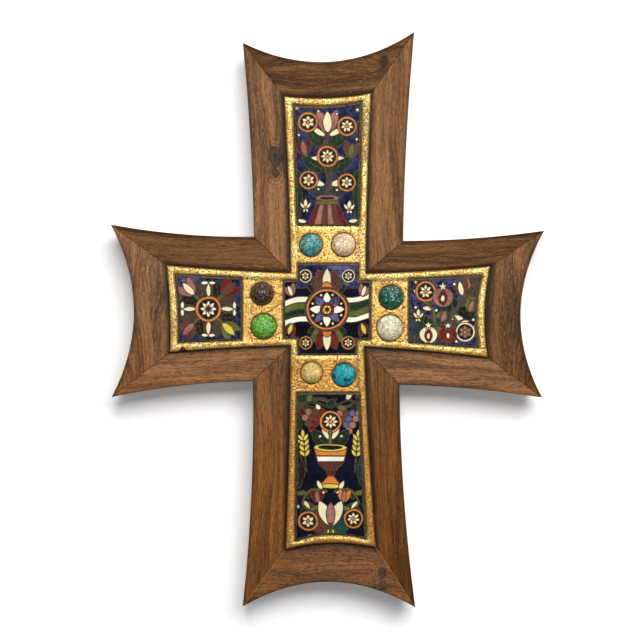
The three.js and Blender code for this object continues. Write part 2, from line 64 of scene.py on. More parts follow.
def plan_points(node, depth):
    """Plan points of a CAD node's vertices at a depth."""
    found = {}
    for vertex in nodes[node].data.vertices:
        x, y, z = vertex.co / MM
        if abs(y + depth) < SAME:
            found[(round(x, 2), round(z, 2))] = Vector((x, z))
    return list(found.values())


def depths(node):
    """Depths of a CAD node's back and front."""
    low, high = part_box(node)
    return -high.y / MM, -low.y / MM


def loop_at(node, depth):
    """A CAD node's outline at a depth, anticlockwise about its middle."""
    points = plan_points(node, depth)
    middle = sum(points, Vector((0, 0))) / len(points)
    return sorted(points, key=lambda p: math.atan2(p.y - middle.y, p.x - middle.x))


def edge_at(node, depth):
    """A CAD node's edge at a depth, in order along its longest stretch."""
    points = plan_points(node, depth)
    first = max(points, key=lambda p: (p - points[0]).length)
    last = max(points, key=lambda p: (p - first).length)
    way = last - first
    return sorted(points, key=lambda p: (p - first).dot(way))


def spline(points, t):
    """Point at t from 0 to 1 on a smooth curve through points."""
    place = min(t * (len(points) - 1), len(points) - 1 - 1e-9)
    i = int(place)
    u = place - i
    b, c = points[i], points[i + 1]
    a = points[i - 1] if i else b * 2 - c
    d = points[i + 2] if i + 2 < len(points) else c * 2 - b
    return (b * 2 + (c - a) * u + (a * 2 - b * 5 + c * 4 - d) * u * u
            + (b * 3 - a - c * 3 + d) * u ** 3) / 2


def evenly(points, spacing, closed=False, corner=math.radians(25)):
    """Points at an even spacing along a path, curved between its corners."""
    count = len(points)
    turns = {}
    for i in range(count) if closed else range(1, count - 1):
        turns[i] = (points[i] - points[i - 1]).angle(points[(i + 1) % count] - points[i])
    sharp = [i for i in turns if turns[i] > corner]
    ring = points
    if closed:
        start = sharp[0] if sharp else 0
        ring = [points[(start + i) % count] for i in range(count + 1)]
        sharp = [i - start for i in sharp[1:]]
    stops = [0] + sharp + [len(ring) - 1]
    made = []
    for first, last in zip(stops, stops[1:]):
        part = ring[first:last + 1]
        length = sum((b - a).length for a, b in zip(part, part[1:]))
        steps = max(1, round(length / spacing))
        made += [spline(part, step / steps) for step in range(steps)]
    return made if closed else made + [ring[-1]]


def grown(loop, distance):
    """An anticlockwise loop moved outwards by a distance."""
    made = []
    for before, point, after in zip(loop[-1:] + loop[:-1], loop, loop[1:] + loop[:1]):
        m = right_of((point - before).normalized())
        n = right_of((after - point).normalized())
        made.append(point + (m + n) * (distance / max(1 + m.dot(n), MITRE_LIMIT)))
    return made


def sides_of(loop):
    return zip(loop, loop[1:] + loop[:1])


def distances(points, loop):
    """Distances of an array's plan points from a closed loop."""
    x, z = points.T
    best = np.full(len(points), 1e9)
    for a, b in sides_of(loop):
        way = b - a
        t = np.clip(((x - a.x) * way.x + (z - a.y) * way.y) / way.length_squared, 0, 1)
        best = np.minimum(best, np.hypot(x - a.x - way.x * t, z - a.y - way.y * t))
    return best


def inside(points, loop):
    """Which of an array's plan points are inside a closed loop."""
    x, z = points.T
    hit = np.zeros(len(points), bool)
    for a, b in sides_of(loop):
        if a.y != b.y:
            crossed = (a.y > z) != (b.y > z)
            hit ^= crossed & (x < a.x + (z - a.y) / (b.y - a.y) * (b.x - a.x))
    return hit


def smooth_step(low, high, value):
    t = np.clip((value - low) / (high - low), 0, 1)
    return t * t * (3 - 2 * t)


def triangles(loops, extra=()):
    """A triangle mesh of plan points in which every side of the loops is an edge."""
    points, edges = [], []
    for loop in loops:
        start = len(points)
        points += loop
        edges += [(start + i, start + (i + 1) % len(loop)) for i in range(len(loop))]
    made, _, faces, *_ = delaunay_2d_cdt(points + list(extra), edges, [], 0, 0.0005, False)
    return np.array([tuple(p) for p in made]), np.array(faces)


def turned(degrees):
    """A plan direction turned anticlockwise from straight up, as two numbers."""
    return -math.sin(math.radians(degrees)), math.cos(math.radians(degrees))


def right_of(way):
    return Vector((way.y, -way.x))


def circle(count):
    """Plan directions spaced evenly all round."""
    turns = [math.tau * i / count for i in range(count)]
    return [Vector((math.cos(t), math.sin(t))) for t in turns]


def at(point, depth):
    """A plan point at a depth, in metres in the frame."""
    return Vector((point.x, -depth, point.y)) * MM


def lumps(point, size, seed):
    """Smooth noise from about -1 to 1 over plan points, with features of a size."""
    return noise.noise(Vector((point.x / size, point.y / size, seed)))


def uneven(point, coarse, fine, seed):
    """Unevenness left by hand tools, from the sizes and heights of its coarse and fine lumps."""
    (size, height), (fine_size, fine_height) = coarse, fine
    return lumps(point, size, seed) * height + lumps(point, fine_size, seed + 5) * fine_height


# Objects


def link(name, data):
    """An object of mesh, light or camera data, put in the scene."""
    made = bpy.data.objects.new(name, data)
    bpy.context.scene.collection.objects.link(made)
    return made


def face_outwards(bm):
    bmesh.ops.recalc_face_normals(bm, faces=bm.faces)


def add_object(name, bm, materials, stands_for, angle, body="cross"):
    """Makes an object of a mesh under construction, ties it to its body and hides the CAD node it stands
    for. It is shaded smooth, but for edges sharper than an angle."""
    mesh = bpy.data.meshes.new(name)
    bm.to_mesh(mesh)
    bm.free()
    for material in materials:
        mesh.materials.append(material)
    mesh.polygons.foreach_set("use_smooth", [True] * len(mesh.polygons))
    mesh.set_sharp_from_angle(angle=math.radians(angle))
    made = link(name, mesh)
    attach(made, body)
    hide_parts(stands_for)


def loft(bm, rings, caps=True):
    """Skins closed rings of points, and gives the rings' vertices."""
    rows = [[bm.verts.new(p) for p in ring] for ring in rings]
    size = len(rows[0])
    for low, high in zip(rows, rows[1:]):
        for i in range(size):
            j = (i + 1) % size
            bm.faces.new((low[i], low[j], high[j], high[i]))
    if caps:
        bm.faces.new(rows[0])
        bm.faces.new(list(reversed(rows[-1])))
    return rows


# Shader nodes


def srgb(red, green, blue):
    """A colour from 0 to 255 a channel, as a linear colour."""
    channels = [c / 255 for c in (red, green, blue)]
    return [c / 12.92 if c <= 0.04045 else ((c + 0.055) / 1.055) ** 2.4 for c in channels] + [1.0]


class Shader:
    """Builds one material out of nodes."""

    def __init__(self, name):
        self.material = bpy.data.materials.new(name)
        self.material.use_nodes = True
        self.tree = self.material.node_tree
        self.tree.nodes.clear()
        self.out = self.tree.nodes.new("ShaderNodeOutputMaterial")

    def node(self, kind, inputs=(), output=0, **settings):
        made = self.tree.nodes.new("ShaderNode" + kind)
        for key, value in settings.items():
            setattr(made, key, value)
        for key, value in dict(inputs).items():
            if isinstance(value, bpy.types.NodeSocket):
                self.tree.links.new(value, made.inputs[key])
            else:
                made.inputs[key].default_value = value
        return made.outputs[output]

    def math(self, operation, a, b=0.0, clamp=False):
        return self.node("Math", {0: a, 1: b}, operation=operation, use_clamp=clamp)

    def plus(self, *terms):
        total = terms[0]
        for term in terms[1:]:
            total = self.math("ADD", total, term)
        return total

    def minus(self, a, b):
        return self.math("SUBTRACT", a, b)

    def times(self, a, b):
        return self.math("MULTIPLY", a, b)

    def most(self, a, b):
        return self.math("MAXIMUM", a, b)

    def vector(self, operation, a, b=(0, 0, 0)):
        """A step on vectors. A dot product or a distance comes out as a number."""
        output = 1 if operation in ("DOT_PRODUCT", "DISTANCE") else 0
        return self.node("VectorMath", {0: a, 1: b}, output, operation=operation)

    def scaled(self, vector, share):
        return self.node("VectorMath", {0: vector, 3: share}, operation="SCALE")

    def attributes(self, *names):
        return [self.node("Attribute", output=2, attribute_name=name) for name in names]

    def between(self, value, low, high, to_low=0.0, to_high=1.0):
        """Value mapped smoothly from one range to another."""
        sockets = {"Value": value, "From Min": low, "From Max": high, "To Min": to_low, "To Max": to_high}
        return self.node("MapRange", sockets, interpolation_type="SMOOTHSTEP")

    def mix(self, share, a, b, blend="MIX"):
        return self.node("Mix", {0: share, 6: a, 7: b}, 2, data_type="RGBA", blend_type=blend)

    def ramp(self, value, stops):
        made = self.tree.nodes.new("ShaderNodeValToRGB")
        elements = made.color_ramp.elements
        while len(elements) < len(stops):
            elements.new(0.5)
        for element, (place, colour) in zip(elements, stops):
            element.position = place
            element.color = colour
        self.tree.links.new(value, made.inputs[0])
        return made.outputs[0]

    def place(self):
        """The point in the frame, in millimetres."""
        return self.scaled(self.node("TexCoord", output=3), 1 / MM)

    def height(self, place):
        """How far up the frame a place is."""
        return self.node("SeparateXYZ", {0: place}, 2)

    def stretched(self, vector, scale):
        return self.vector("MULTIPLY", vector, scale)

    def noise(self, vector, scale=1.0, detail=3.0, rough=0.5, warp=0.0, output=0):
        sockets = {"Vector": vector, "Scale": scale, "Detail": detail, "Roughness": rough}
        return self.node("TexNoise", {**sockets, "Distortion": warp}, output)

    def cells(self, vector, scale=1.0, feature="F1", output=0):
        return self.node("TexVoronoi", {"Vector": vector, "Scale": scale}, output, feature=feature)

    def bump(self, height, size_mm, strength):
        return self.node("Bump", {"Height": height, "Distance": size_mm * MM, "Strength": strength})

    def finish(self, **inputs):
        names = {key: key.replace("_", " ").title().replace("Ior", "IOR") for key in inputs}
        sockets = {names[key]: value for key, value in inputs.items()}
        surface = self.node("BsdfPrincipled", sockets)
        self.tree.links.new(surface, self.out.inputs[0])
        return self.material


# Wood

WOOD_DARK = srgb(66, 42, 24)
WOOD_MID = srgb(112, 75, 42)
WOOD_LIGHT = srgb(150, 106, 66)
WOOD_PORE = srgb(44, 27, 15)
WOOD_FLECK = srgb(168, 124, 80)
WOOD_KNOT = srgb(40, 27, 18)
KNOT_PALE = srgb(76, 57, 43)
# Painted highlight on the lower mitres; dark mitre joints
MITRE_HIGHLIGHT = srgb(176, 142, 104)
MITRE_DARK = srgb(30, 19, 12)
# Dirt and painted shade in a band by the gold
GOLD_SIDE_DIRT_AND_SHADE = srgb(34, 22, 14)
# Darker along the outer edges
OUTER_EDGE_DARK = srgb(52, 34, 22)
# Tint that makes the wood darker and more orange lower down
LOWER_WOOD_TINT = (0.8, 0.62, 0.27, 1.0)
# How far slow drifts push the figure across the grain, in millimetres
DRIFT = 13.0


def moulding_wood():
    """Oiled wood: wandering figure, streaks, pores and knots; a darker band by the gold that is dirt and
    painted shade, darker outer edges, a painted highlight on the lower mitres, and a darker, more orange
    tint lower down.
    """
    s = Shader("oiled moulding wood")
    grain = s.node("Attribute", output=1, attribute_name="grain")
    knot, outer, tint, mitre = s.attributes("knot", "outer", "tone", "mitre")
    across = s.node("SeparateXYZ", {0: grain}, 1)
    drift = s.noise(s.stretched(grain, (0.02, 0.05, 1.0)), detail=2)
    shift = s.node("CombineXYZ", {1: s.times(s.minus(drift, 0.5), DRIFT)})
    bent = s.vector("ADD", grain, shift)
    broad = s.noise(s.stretched(bent, (0.012, 0.12, 1.0)), detail=3, rough=0.5)
    figure = s.noise(s.stretched(bent, (0.014, 0.55, 1.0)), detail=4, rough=0.62)
    streak = s.noise(s.stretched(bent, (0.09, 2.1, 1.0)), detail=4, rough=0.75)
    pores = s.noise(s.stretched(bent, (0.34, 2.4, 1.0)), detail=3, rough=0.65)
    flecks = s.noise(s.stretched(bent, (0.42, 1.9, 3.0)), detail=3, rough=0.65)
    tone = s.plus(s.times(broad, 0.32), s.times(figure, 0.26), s.times(streak, 0.42), tint)
    colour = s.ramp(tone, [(0.425, WOOD_DARK), (0.5, WOOD_MID), (0.575, WOOD_LIGHT)])
    colour = s.mix(s.between(flecks, 0.52, 0.68, 0.0, 0.45), colour, WOOD_FLECK)
    colour = s.mix(s.between(pores, 0.52, 0.66, 0.0, 0.62), colour, WOOD_PORE)
    colour = knotted(s, colour, knot, streak)
    colour = dirtied_and_shaded(s, colour, across, outer, mitre)
    relief = s.minus(s.times(streak, 0.6), s.between(pores, 0.52, 0.66))
    rough = s.between(streak, 0.3, 0.7, 0.5, 0.66)
    return s.finish(base_color=colour, roughness=rough, normal=s.bump(relief, 0.14, 0.8),
                    specular_ior_level=0.22)


def knotted(s, colour, knot, streak):
    """Knots over the wood: dark circles round a dark core with a paler ring in it."""
    frayed = s.minus(s.noise(s.place(), 0.45, 3, 0.6), 0.5)
    knot = s.plus(knot, s.times(frayed, 2.6))
    around = s.between(knot, 2.0, 11.0, 1.0, 0.0)
    circles = s.math("SINE", s.plus(s.times(knot, 3.1), s.times(streak, 5.0)))
    colour = s.mix(s.times(around, s.between(circles, -0.2, 1.0, 0.0, 0.75)), colour, WOOD_DARK)
    colour = s.mix(s.between(knot, 2.3, 3.3, 0.8, 0.0), colour, WOOD_KNOT)
    colour = s.mix(s.between(knot, 1.4, 2.1, 0.5, 0.0), colour, KNOT_PALE)
    return s.mix(s.between(knot, 0.2, 0.7, 0.9, 0.0), colour, WOOD_KNOT)


def dirtied_and_shaded(s, colour, across, outer, mitre):
    """A darker band by the gold, partly dirt and partly painted shade at the foot of the slope; darker
    outer edges; dark mitre joints higher up, with a painted highlight on the mitres lower down; and wood
    tinted darker and more orange lower down.
    """
    ragged = s.noise(s.place(), 0.3, 4, 0.6)
    gathered = s.plus(s.times(ragged, -4.0), s.times(s.noise(s.place(), 0.03, 2), -7.0))
    by_gold = s.plus(across, gathered)
    # Dirt and painted shade in a ragged band along the gold, at the foot of the wood's slope
    colour = s.mix(s.between(by_gold, -5.5, 0.5, 0.85, 0.0), colour, GOLD_SIDE_DIRT_AND_SHADE)
    height = s.height(s.place())
    # Mitres: dark joints higher up, and a painted highlight on the lower mitres where their edges catch
    # the light
    seam = s.mix(s.between(height, -120.0, -60.0, 1.0, 0.0), MITRE_DARK, MITRE_HIGHLIGHT)
    colour = s.mix(s.between(mitre, 0.1, 0.5, 0.75, 0.0), colour, seam)
    by_edge = s.plus(outer, s.times(ragged, -7.0))
    # Darker along the outer edge
    colour = s.mix(s.between(by_edge, -3.0, 1.5, 0.5, 0.0), colour, OUTER_EDGE_DARK)
    # Wood tinted darker and more orange lower down
    return s.mix(s.between(height, -110.0, 15.0, 1.0, 0.0), colour, LOWER_WOOD_TINT, "MULTIPLY")


BARE_DARK = srgb(88, 62, 42)
BARE_MID = srgb(132, 98, 68)
BARE_LIGHT = srgb(164, 128, 92)
BARE_PORE = srgb(66, 44, 30)


def board_wood(name, stretch):
    """Bare wood of a back board, with its grain along the board."""
    s = Shader(name)
    grain = s.stretched(s.place(), stretch)
    streak = s.noise(grain, 0.5, 5, 0.6, 0.4)
    fine = s.noise(grain, 2.6, 3, 0.6)
    stains = s.noise(s.place(), 0.02, 3)
    tone = s.plus(s.times(streak, 0.65), s.times(stains, 0.35))
    colour = s.ramp(tone, [(0.35, BARE_DARK), (0.5, BARE_MID), (0.66, BARE_LIGHT)])
    colour = s.mix(s.between(fine, 0.56, 0.72, 0.0, 0.5), colour, BARE_PORE)
    return s.finish(base_color=colour, roughness=s.between(streak, 0.3, 0.7, 0.65, 0.8),
                    normal=s.bump(fine, 0.15, 0.8), specular_ior_level=0.2)


# Knots: moulding, place in plan, radius of the dark core, and how much narrower along the grain
KNOTS = [
    ("top_left_moulding", Vector((-31.9, 93.6)), 3.0, 0.7),
    ("top_left_moulding", Vector((-31.9, 83.5)), 1.3, 0.8),
    ("top_end_moulding", Vector((34.4, 151.3)), 2.4, 1.5),
    ("bottom_end_moulding", Vector((33.5, -161.0)), 1.9, 1.4),
    ("bottom_end_moulding", Vector((33.9, -168.8)), 1.2, 1.0),
]
# How far a knot two millimetres in radius bends the grain, and how much it pushes it aside
KNOT_REACH = 5.0
KNOT_PUSH = 1.2
# Distances from a knot: what stands for its core's edge, and for no knot near
CORE_EDGE = 1.3
FAR = 99.0


def knot_warp(name, point, along, across, way, side):
    """How knots bend the grain at a point, and the point's distance from the nearest knot's core."""
    nearest = FAR
    for moulding, centre, core, narrowing in KNOTS:
        if moulding != name:
            continue
        offset = point - centre
        far = Vector((offset.dot(way) * narrowing, offset.dot(side))).length
        bend = math.exp(-(far / (KNOT_REACH * core / 2)) ** 2)
        across += bend * core * KNOT_PUSH * (1 if offset.dot(side) > 0 else -1)
        nearest = min(nearest, max(0.0, far - core + CORE_EDGE))
    return along, across, nearest


# Depths of a moulding's sloping face at its outer and inner edges, and of the eased front edge
MOULDING_FACE = (21.3, 14.5)
FRONT_EDGE = 22.5
# How much lighter each moulding's board is than the rest
MOULDING_TONES = {
    "top_left_moulding": 0.008, "top_right_moulding": 0.03, "top_end_moulding": -0.03,
    "left_upper_moulding": 0.03, "left_lower_moulding": 0.03, "left_end_moulding": 0.01,
    "right_upper_moulding": -0.02, "right_lower_moulding": 0.004, "right_end_moulding": -0.01,
    "bottom_left_moulding": 0.0, "bottom_right_moulding": 0.0, "bottom_end_moulding": 0.0,
}
# A moulding's section: radius of its front edge, hollow of its face, and the small bevels at its back
# and along the gold
EASE = 1.2
DISH = 0.7
BACK_BEVEL = 0.4
INNER_BEVEL = (0.4, 0.35)
EASE_STEPS = 5
FACE_STEPS = 14
ALONG_STEP = 1.6
# How much longer a moulding is shown at each end, so that the mitres nearly touch
MITRE_CLOSE = 0.13
# Sizes and heights of the coarse and fine unevenness of the planed wood
PLANED = ((22, 0.28), (7, 0.1))
# Bend of an outline, in radians, that no corner reaches
NO_CORNER = 9
# How far apart the grain of two mouldings is in the noise
GRAIN_APART = 7.3


def moulding_profile(width, back, front, inner):
    """Section of a moulding: share of its width from the outer edge, and depth."""
    points = [(BACK_BEVEL / width, back), (0.0, back + BACK_BEVEL), (0.0, front - EASE)]
    for step in range(1, EASE_STEPS):
        angle = step / EASE_STEPS * math.pi / 2
        points.append((EASE * (1 - math.cos(angle)) / width, front - EASE * (1 - math.sin(angle))))
    start = EASE / width
    in_width, in_depth = INNER_BEVEL
    for step in range(FACE_STEPS):
        t = step / FACE_STEPS
        share = start + (1 - start - in_width / width) * t
        points.append((share, front + (inner - front) * share - DISH * 4 * t * (1 - t)))
    return points + [(1.0, inner - in_depth), (1.0, back)]


def closed_up(edge):
    """An edge made a little longer at both ends."""
    ends = [edge[i] + (edge[i] - edge[j]).normalized() * MITRE_CLOSE for i, j in ((0, 1), (-1, -2))]
    return [ends[0]] + edge[1:-1] + [ends[1]]


def add_moulding(name, material, seed):
    """A moulding through the CAD node's two edges, with grain that runs along it."""
    back = depths(name)[0]
    outer_points, inner_points = [closed_up(edge_at(name, depth)) for depth in MOULDING_FACE]
    if (inner_points[0] - outer_points[0]).length > (inner_points[-1] - outer_points[0]).length:
        inner_points.reverse()
    outer = evenly(outer_points, ALONG_STEP, corner=NO_CORNER)
    steps = len(outer) - 1
    inner = [spline(inner_points, i / steps) for i in range(steps + 1)]
    way = (outer[-1] - outer[0]).normalized()
    side = outer[steps // 2] - inner[steps // 2]
    side = (side - way * side.dot(way)).normalized()
    bm = bmesh.new()
    grain = bm.verts.layers.float_vector.new("grain")
    knot, outward, tone, cut = [bm.verts.layers.float.new(n) for n in ("knot", "outer", "tone", "mitre")]
    rings = []
    facts = []
    for a, b in zip(outer, inner):
        width = (b - a).length
        ring = []
        for share, depth in moulding_profile(width, back, FRONT_EDGE, MOULDING_FACE[1]):
            point = a + (b - a) * share
            shown = smooth_step(back + 2, back + 6, depth)
            ring.append(at(point, depth + uneven(point, *PLANED, seed) * shown))
            along = (point - outer[0]).dot(way)
            across = width * (1 - share) - max(0, MOULDING_FACE[1] - depth)
            along, across, near = knot_warp(name, point, along, across, way, side)
            cuts = [outer[end] + (inner[end] - outer[end]) * share for end in (0, -1)]
            from_cut = min((point - cut_point).length for cut_point in cuts)
            facts.append((along, across, near, width * share, from_cut))
        rings.append(ring)
    rows = loft(bm, rings)
    for vertex, (along, across, near, far_in, from_cut) in zip([v for row in rows for v in row], facts):
        vertex[grain] = Vector((along, across, seed * GRAIN_APART))
        vertex[knot], vertex[outward], vertex[cut] = near, far_in, from_cut
        vertex[tone] = MOULDING_TONES[name]
    face_outwards(bm)
    add_object(name + "_wood", bm, [material], name, 40)


def add_mouldings():
    material = moulding_wood()
    for seed, name in enumerate(nodes_ending("_moulding")):
        add_moulding(name, material, seed + 1)


# Gilding

GOLD = srgb(232, 196, 112)
GOLD_BRIGHT = srgb(250, 228, 146)
GOLD_DEEP = srgb(188, 132, 52)
GOLD_TAN = srgb(222, 172, 92)
# Darker, more orange gold for lower down
GOLD_LOWER_ORANGE = srgb(190, 124, 38)
BOLE = srgb(112, 68, 28)
GRIME = srgb(62, 40, 20)
CHIP_RED = srgb(74, 20, 12)
# Fine cracks in the gesso, from one plan point to another, and a chip in the lower edge
CRACKS = [((-40.0, 2.6), (-40.6, -2.6)), ((-37.0, -1.8), (-27.4, 4.3))]
# Sides of the chip: a point on each, and its way outwards
CHIP_FOOT, CHIP_PEAK = (-88.6, -25.6), (-88.6, -22.3)
CHIP_SIDES = [(CHIP_FOOT, (0.0, -1.0)), (CHIP_PEAK, (-0.72, 0.69)), (CHIP_PEAK, (0.72, 0.69))]


def segment_distance(s, where, a, b):
    """Distance of a plan place from a segment, in nodes."""
    way = Vector(b) - Vector(a)
    start = s.vector("SUBTRACT", where, (a[0], 0, a[1]))
    flat = s.stretched(start, (1, 0, 1))
    dot = s.vector("DOT_PRODUCT", flat, (way.x, 0, way.y))
    share = s.math("DIVIDE", dot, way.length_squared, clamp=True)
    return s.vector("DISTANCE", flat, s.scaled((way.x, 0, way.y), share))


def gold_leaf():
    """Leaf over red bole: speckled with dark pits, rubbed at the edges, duller low down, and cracked, with
    a painted highlight on the ridges over the plaques' lower edges and painted shade round the stones, on
    the upper slopes round the plaques and on the gilding's sides.
    """
    s = Shader("gold leaf")
    where = s.place()
    edge, flat, crest = s.attributes("wear", "flat", "crest")
    level = s.height(where)
    cloud = s.noise(where, 0.1, 4, 0.6)
    speck = s.noise(where, 1.1, 4, 0.7)
    pits = s.noise(where, 1.05, 3, 0.7)
    lump = s.noise(where, 0.55, 3, 0.5)
    colour = s.ramp(s.plus(s.times(cloud, 0.45), s.times(speck, 0.55)),
                    [(0.39, GOLD_DEEP), (0.47, GOLD), (0.54, GOLD_BRIGHT)])
    colour = s.mix(s.times(flat, 0.6), colour, GOLD_TAN)
    # Duller, more orange gold lower down
    colour = s.mix(s.between(level, -88.0, 40.0, 0.84, 0.0), colour, GOLD_LOWER_ORANGE)
    # Painted highlight on the ridges over the plaques' lower edges
    colour = s.mix(s.times(crest, 0.85), colour, GOLD_BRIGHT)
    # Where the attribute of rubbing and painted shade is high the leaf shows bole and grime: real rubbing
    # at the edges, painted shade round the stones, on the side and upper slopes round the plaques and on
    # the gilding's sides
    rubbed = s.plus(edge, s.times(s.minus(speck, 0.5), 1.5))
    rubbed = s.between(rubbed, 0.5, 0.8)
    crowd = s.minus(s.times(edge, 0.28), s.times(flat, 0.02))
    pocked = s.between(s.plus(pits, crowd), 0.53, 0.575)
    worn = s.most(rubbed, s.times(pocked, 0.85))
    warp = s.times(s.minus(s.noise(where, 0.9, 3), 0.5), 0.9)
    for a, b in CRACKS:
        line = s.plus(segment_distance(s, where, a, b), warp)
        worn = s.most(worn, s.between(s.math("ABSOLUTE", line), 0.1, 0.3, 1.0, 0.0))
    base = s.mix(worn, colour, s.mix(s.between(cloud, 0.4, 0.6), BOLE, GRIME))
    chipped = chip_mask(s, where, warp)
    base = s.mix(chipped, base, CHIP_RED)
    worn = s.most(worn, chipped)
    metal = s.between(worn, 0.0, 1.0, 0.8, 0.1)
    rough = s.between(speck, 0.3, 0.7, 0.32, 0.46)
    rough = s.plus(rough, s.times(worn, 0.25))
    height = s.plus(s.times(lump, 0.8), s.times(speck, 0.7))
    height = s.minus(height, s.times(worn, 0.35))
    return s.finish(base_color=base, metallic=metal, roughness=rough, normal=s.bump(height, 0.55, 0.9))


def chip_mask(s, where, warp):
    """One inside the three-cornered chip, in nodes."""
    mask = None
    for (x, z), (nx, nz) in CHIP_SIDES:
        start = s.vector("SUBTRACT", where, (x, 0, z))
        away = s.vector("DOT_PRODUCT", start, (nx, 0, nz))
        side = s.between(s.plus(away, s.times(warp, 0.7)), -0.15, 0.15, 1.0, 0.0)
        mask = s.times(mask, side) if mask else side
    return mask


# Depths of the gilded cross: its back, the top of its border, the open field, the foot of the slopes
# round the plaques, and the floor under the plaques
GILT_BACK = 10.0
RIDGE = 16.5
FIELD = 15.95
SLOPE_FOOT = 15.1
GROUND = 13.55
# Radius of the border's outer edge, width and crown of the border, width of the slopes round the
# plaques, and how far the border's inner step reaches either way
RIDGE_ROUND = 1.0
BORDER = 4.9
CROWN = 0.75
SLOPE = 1.35
STEP_BEFORE = 0.5
STEP_AFTER = 0.2
# Spacing of the points along edges, distances from edges at which loops of points follow them, and the
# number of points round a stone's seat
EDGE_STEP = 1.1
BORDER_LOOPS = (0.2, 0.55, 1.0, BORDER - STEP_BEFORE, BORDER + STEP_AFTER)
SLOPE_LOOPS = (-0.06, 0.1, 0.55, SLOPE)
SEAT_LOOPS = (0.1, 0.16, 0.6, 1.2)
SEAT_SIDES = 64
# Spacing of the points scattered between the loops, how far and by which seed they are shifted, and
# their least distance from the edge
GILT_STEP = 1.25
GILT_SHUFFLE = (0.2, 0.8)
GILT_SEED = 11
GILT_CLEAR = 0.4
# How rubbed the outer edge, the groove along the border and the right border of the upper arm are,
# and how dark the foot of the gilding's sides is, as worn leaf and painted shade
EDGE_WEAR = 0.5
GROOVE_WEAR = 0.22
STRETCH_WEAR = 0.24
SIDE_WEAR_AND_SHADE = 0.75
# Dip of the leaf round a stone, and how far the seat's floor lies under the stone
SEAT_DIP = 0.5
SEAT_UNDER = 0.05
# Sizes and heights of the coarse and fine unevenness of the gesso
GESSO = ((9, 0.16), (3.2, 0.09))
PLAQUE_NAMES = ["top_plaque", "right_plaque", "bottom_plaque", "left_plaque", "middle_plaque"]
CABOCHON_NAMES = nodes_ending("_cabochon")


def cabochon_spot(name):
    """A cabochon's middle in plan, its radius, and the depths of its foot and top."""
    low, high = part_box(name)
    middle = Vector(((low.x + high.x) / 2 / MM, (low.z + high.z) / 2 / MM))
    return middle, (high.x - low.x) / 2 / MM, -high.y / MM, -low.y / MM


def gilded_relief(points, outer, plaques, spots):
    """Depths of the gilded surface at plan points, how rubbed and darkened the leaf is there (painted
    shade round the stones and on the upper slopes round the plaques), how far it is open field, and how
    bright the painted highlight is on the ridge over a plaque's lower edge."""
    edge = distances(points, outer)
    near = np.minimum(edge, RIDGE_ROUND)
    depth = RIDGE - RIDGE_ROUND + np.sqrt(RIDGE_ROUND ** 2 - (RIDGE_ROUND - near) ** 2)
    depth -= CROWN * np.minimum(np.abs(edge / (BORDER / 2) - 1), 1) ** 2
    wear = EDGE_WEAR * (1 - smooth_step(0.1, 1.1, edge))
    step = smooth_step(BORDER - STEP_BEFORE, BORDER + STEP_AFTER, edge)
    depth = np.minimum(depth, RIDGE + (FIELD - RIDGE) * step)
    wear = np.maximum(wear, GROOVE_WEAR * np.exp(-((edge - BORDER) / 0.35) ** 2))
    x, z = points.T
    stretch = smooth_step(16, 22, x) * smooth_step(84, 94, z) * (1 - smooth_step(122, 130, z))
    wear = np.maximum(wear, STRETCH_WEAR * stretch)
    flat = smooth_step(BORDER - 0.3, BORDER + 0.6, edge)
    crest = np.zeros(len(points))
    for loop in plaques:
        gap = distances(points, loop)
        low = min(p.y for p in loop)
        slope = SLOPE_FOOT + (depth - SLOPE_FOOT) * smooth_step(-0.3, SLOPE, gap)
        depth = np.where(gap < SLOPE, np.minimum(depth, slope), depth)
        # Painted highlight along the ridge over a plaque's lower edge, where the slope faces up; fainter
        # over upper edges
        upper = smooth_step(low + 2.0, low + 7.0, z)
        band = np.exp(-((gap - 1.3) / 0.8) ** 2)
        crest = np.maximum(crest, (1 - 0.75 * upper) * band)
        # Painted shade with worn leaf on the slopes round a plaque, heavier on the side and upper slopes
        # than over its lower edge
        wear = np.maximum(wear, (0.15 + 0.55 * upper) * (1 - smooth_step(0.2, SLOPE, gap)))
        under = inside(points, loop)
        depth[under] = np.where(gap[under] < 0.02, SLOPE_FOOT, GROUND)
    for middle, radius, foot, _ in spots:
        gap = np.hypot(*(points - np.array(middle)).T) - radius
        depth -= SEAT_DIP * (1 - smooth_step(0.15, 1.2, gap))
        # Painted shade with grime in a dark ring round each stone
        wear = np.maximum(wear, 1 - smooth_step(0.15, 0.7, gap))
        depth[gap < 0.12] = foot - SEAT_UNDER
    return depth, wear, flat, crest


def gilding_plan(outer, plaques, spots):
    """Plan points and triangles of the gilding's front, with loops of points along its edges and
    scattered points between them."""
    loops = [outer] + [grown(outer, -d) for d in BORDER_LOOPS]
    for loop in plaques:
        loops += [grown(loop, d) for d in SLOPE_LOOPS]
    for middle, radius, *_ in spots:
        for extra in SEAT_LOOPS:
            loops.append([middle + way * (radius + extra) for way in circle(SEAT_SIDES)])
    spread = np.random.default_rng(GILT_SEED)
    low, high = np.min(outer, axis=0), np.max(outer, axis=0)
    columns, rows = ((high - low) / GILT_STEP).astype(int)
    grid = np.stack(np.meshgrid(np.arange(columns), np.arange(rows)), -1).reshape(-1, 2)
    grid = low + (grid + spread.uniform(*GILT_SHUFFLE, grid.shape)) * GILT_STEP
    open_ground = inside(grid, outer) & (distances(grid, outer) > GILT_CLEAR)
    for loop in plaques:
        open_ground &= ~inside(grid, loop)
    points, faces = triangles(loops, [Vector(p) for p in grid[open_ground]])
    return points, faces[inside(points[faces].mean(axis=1), outer)]


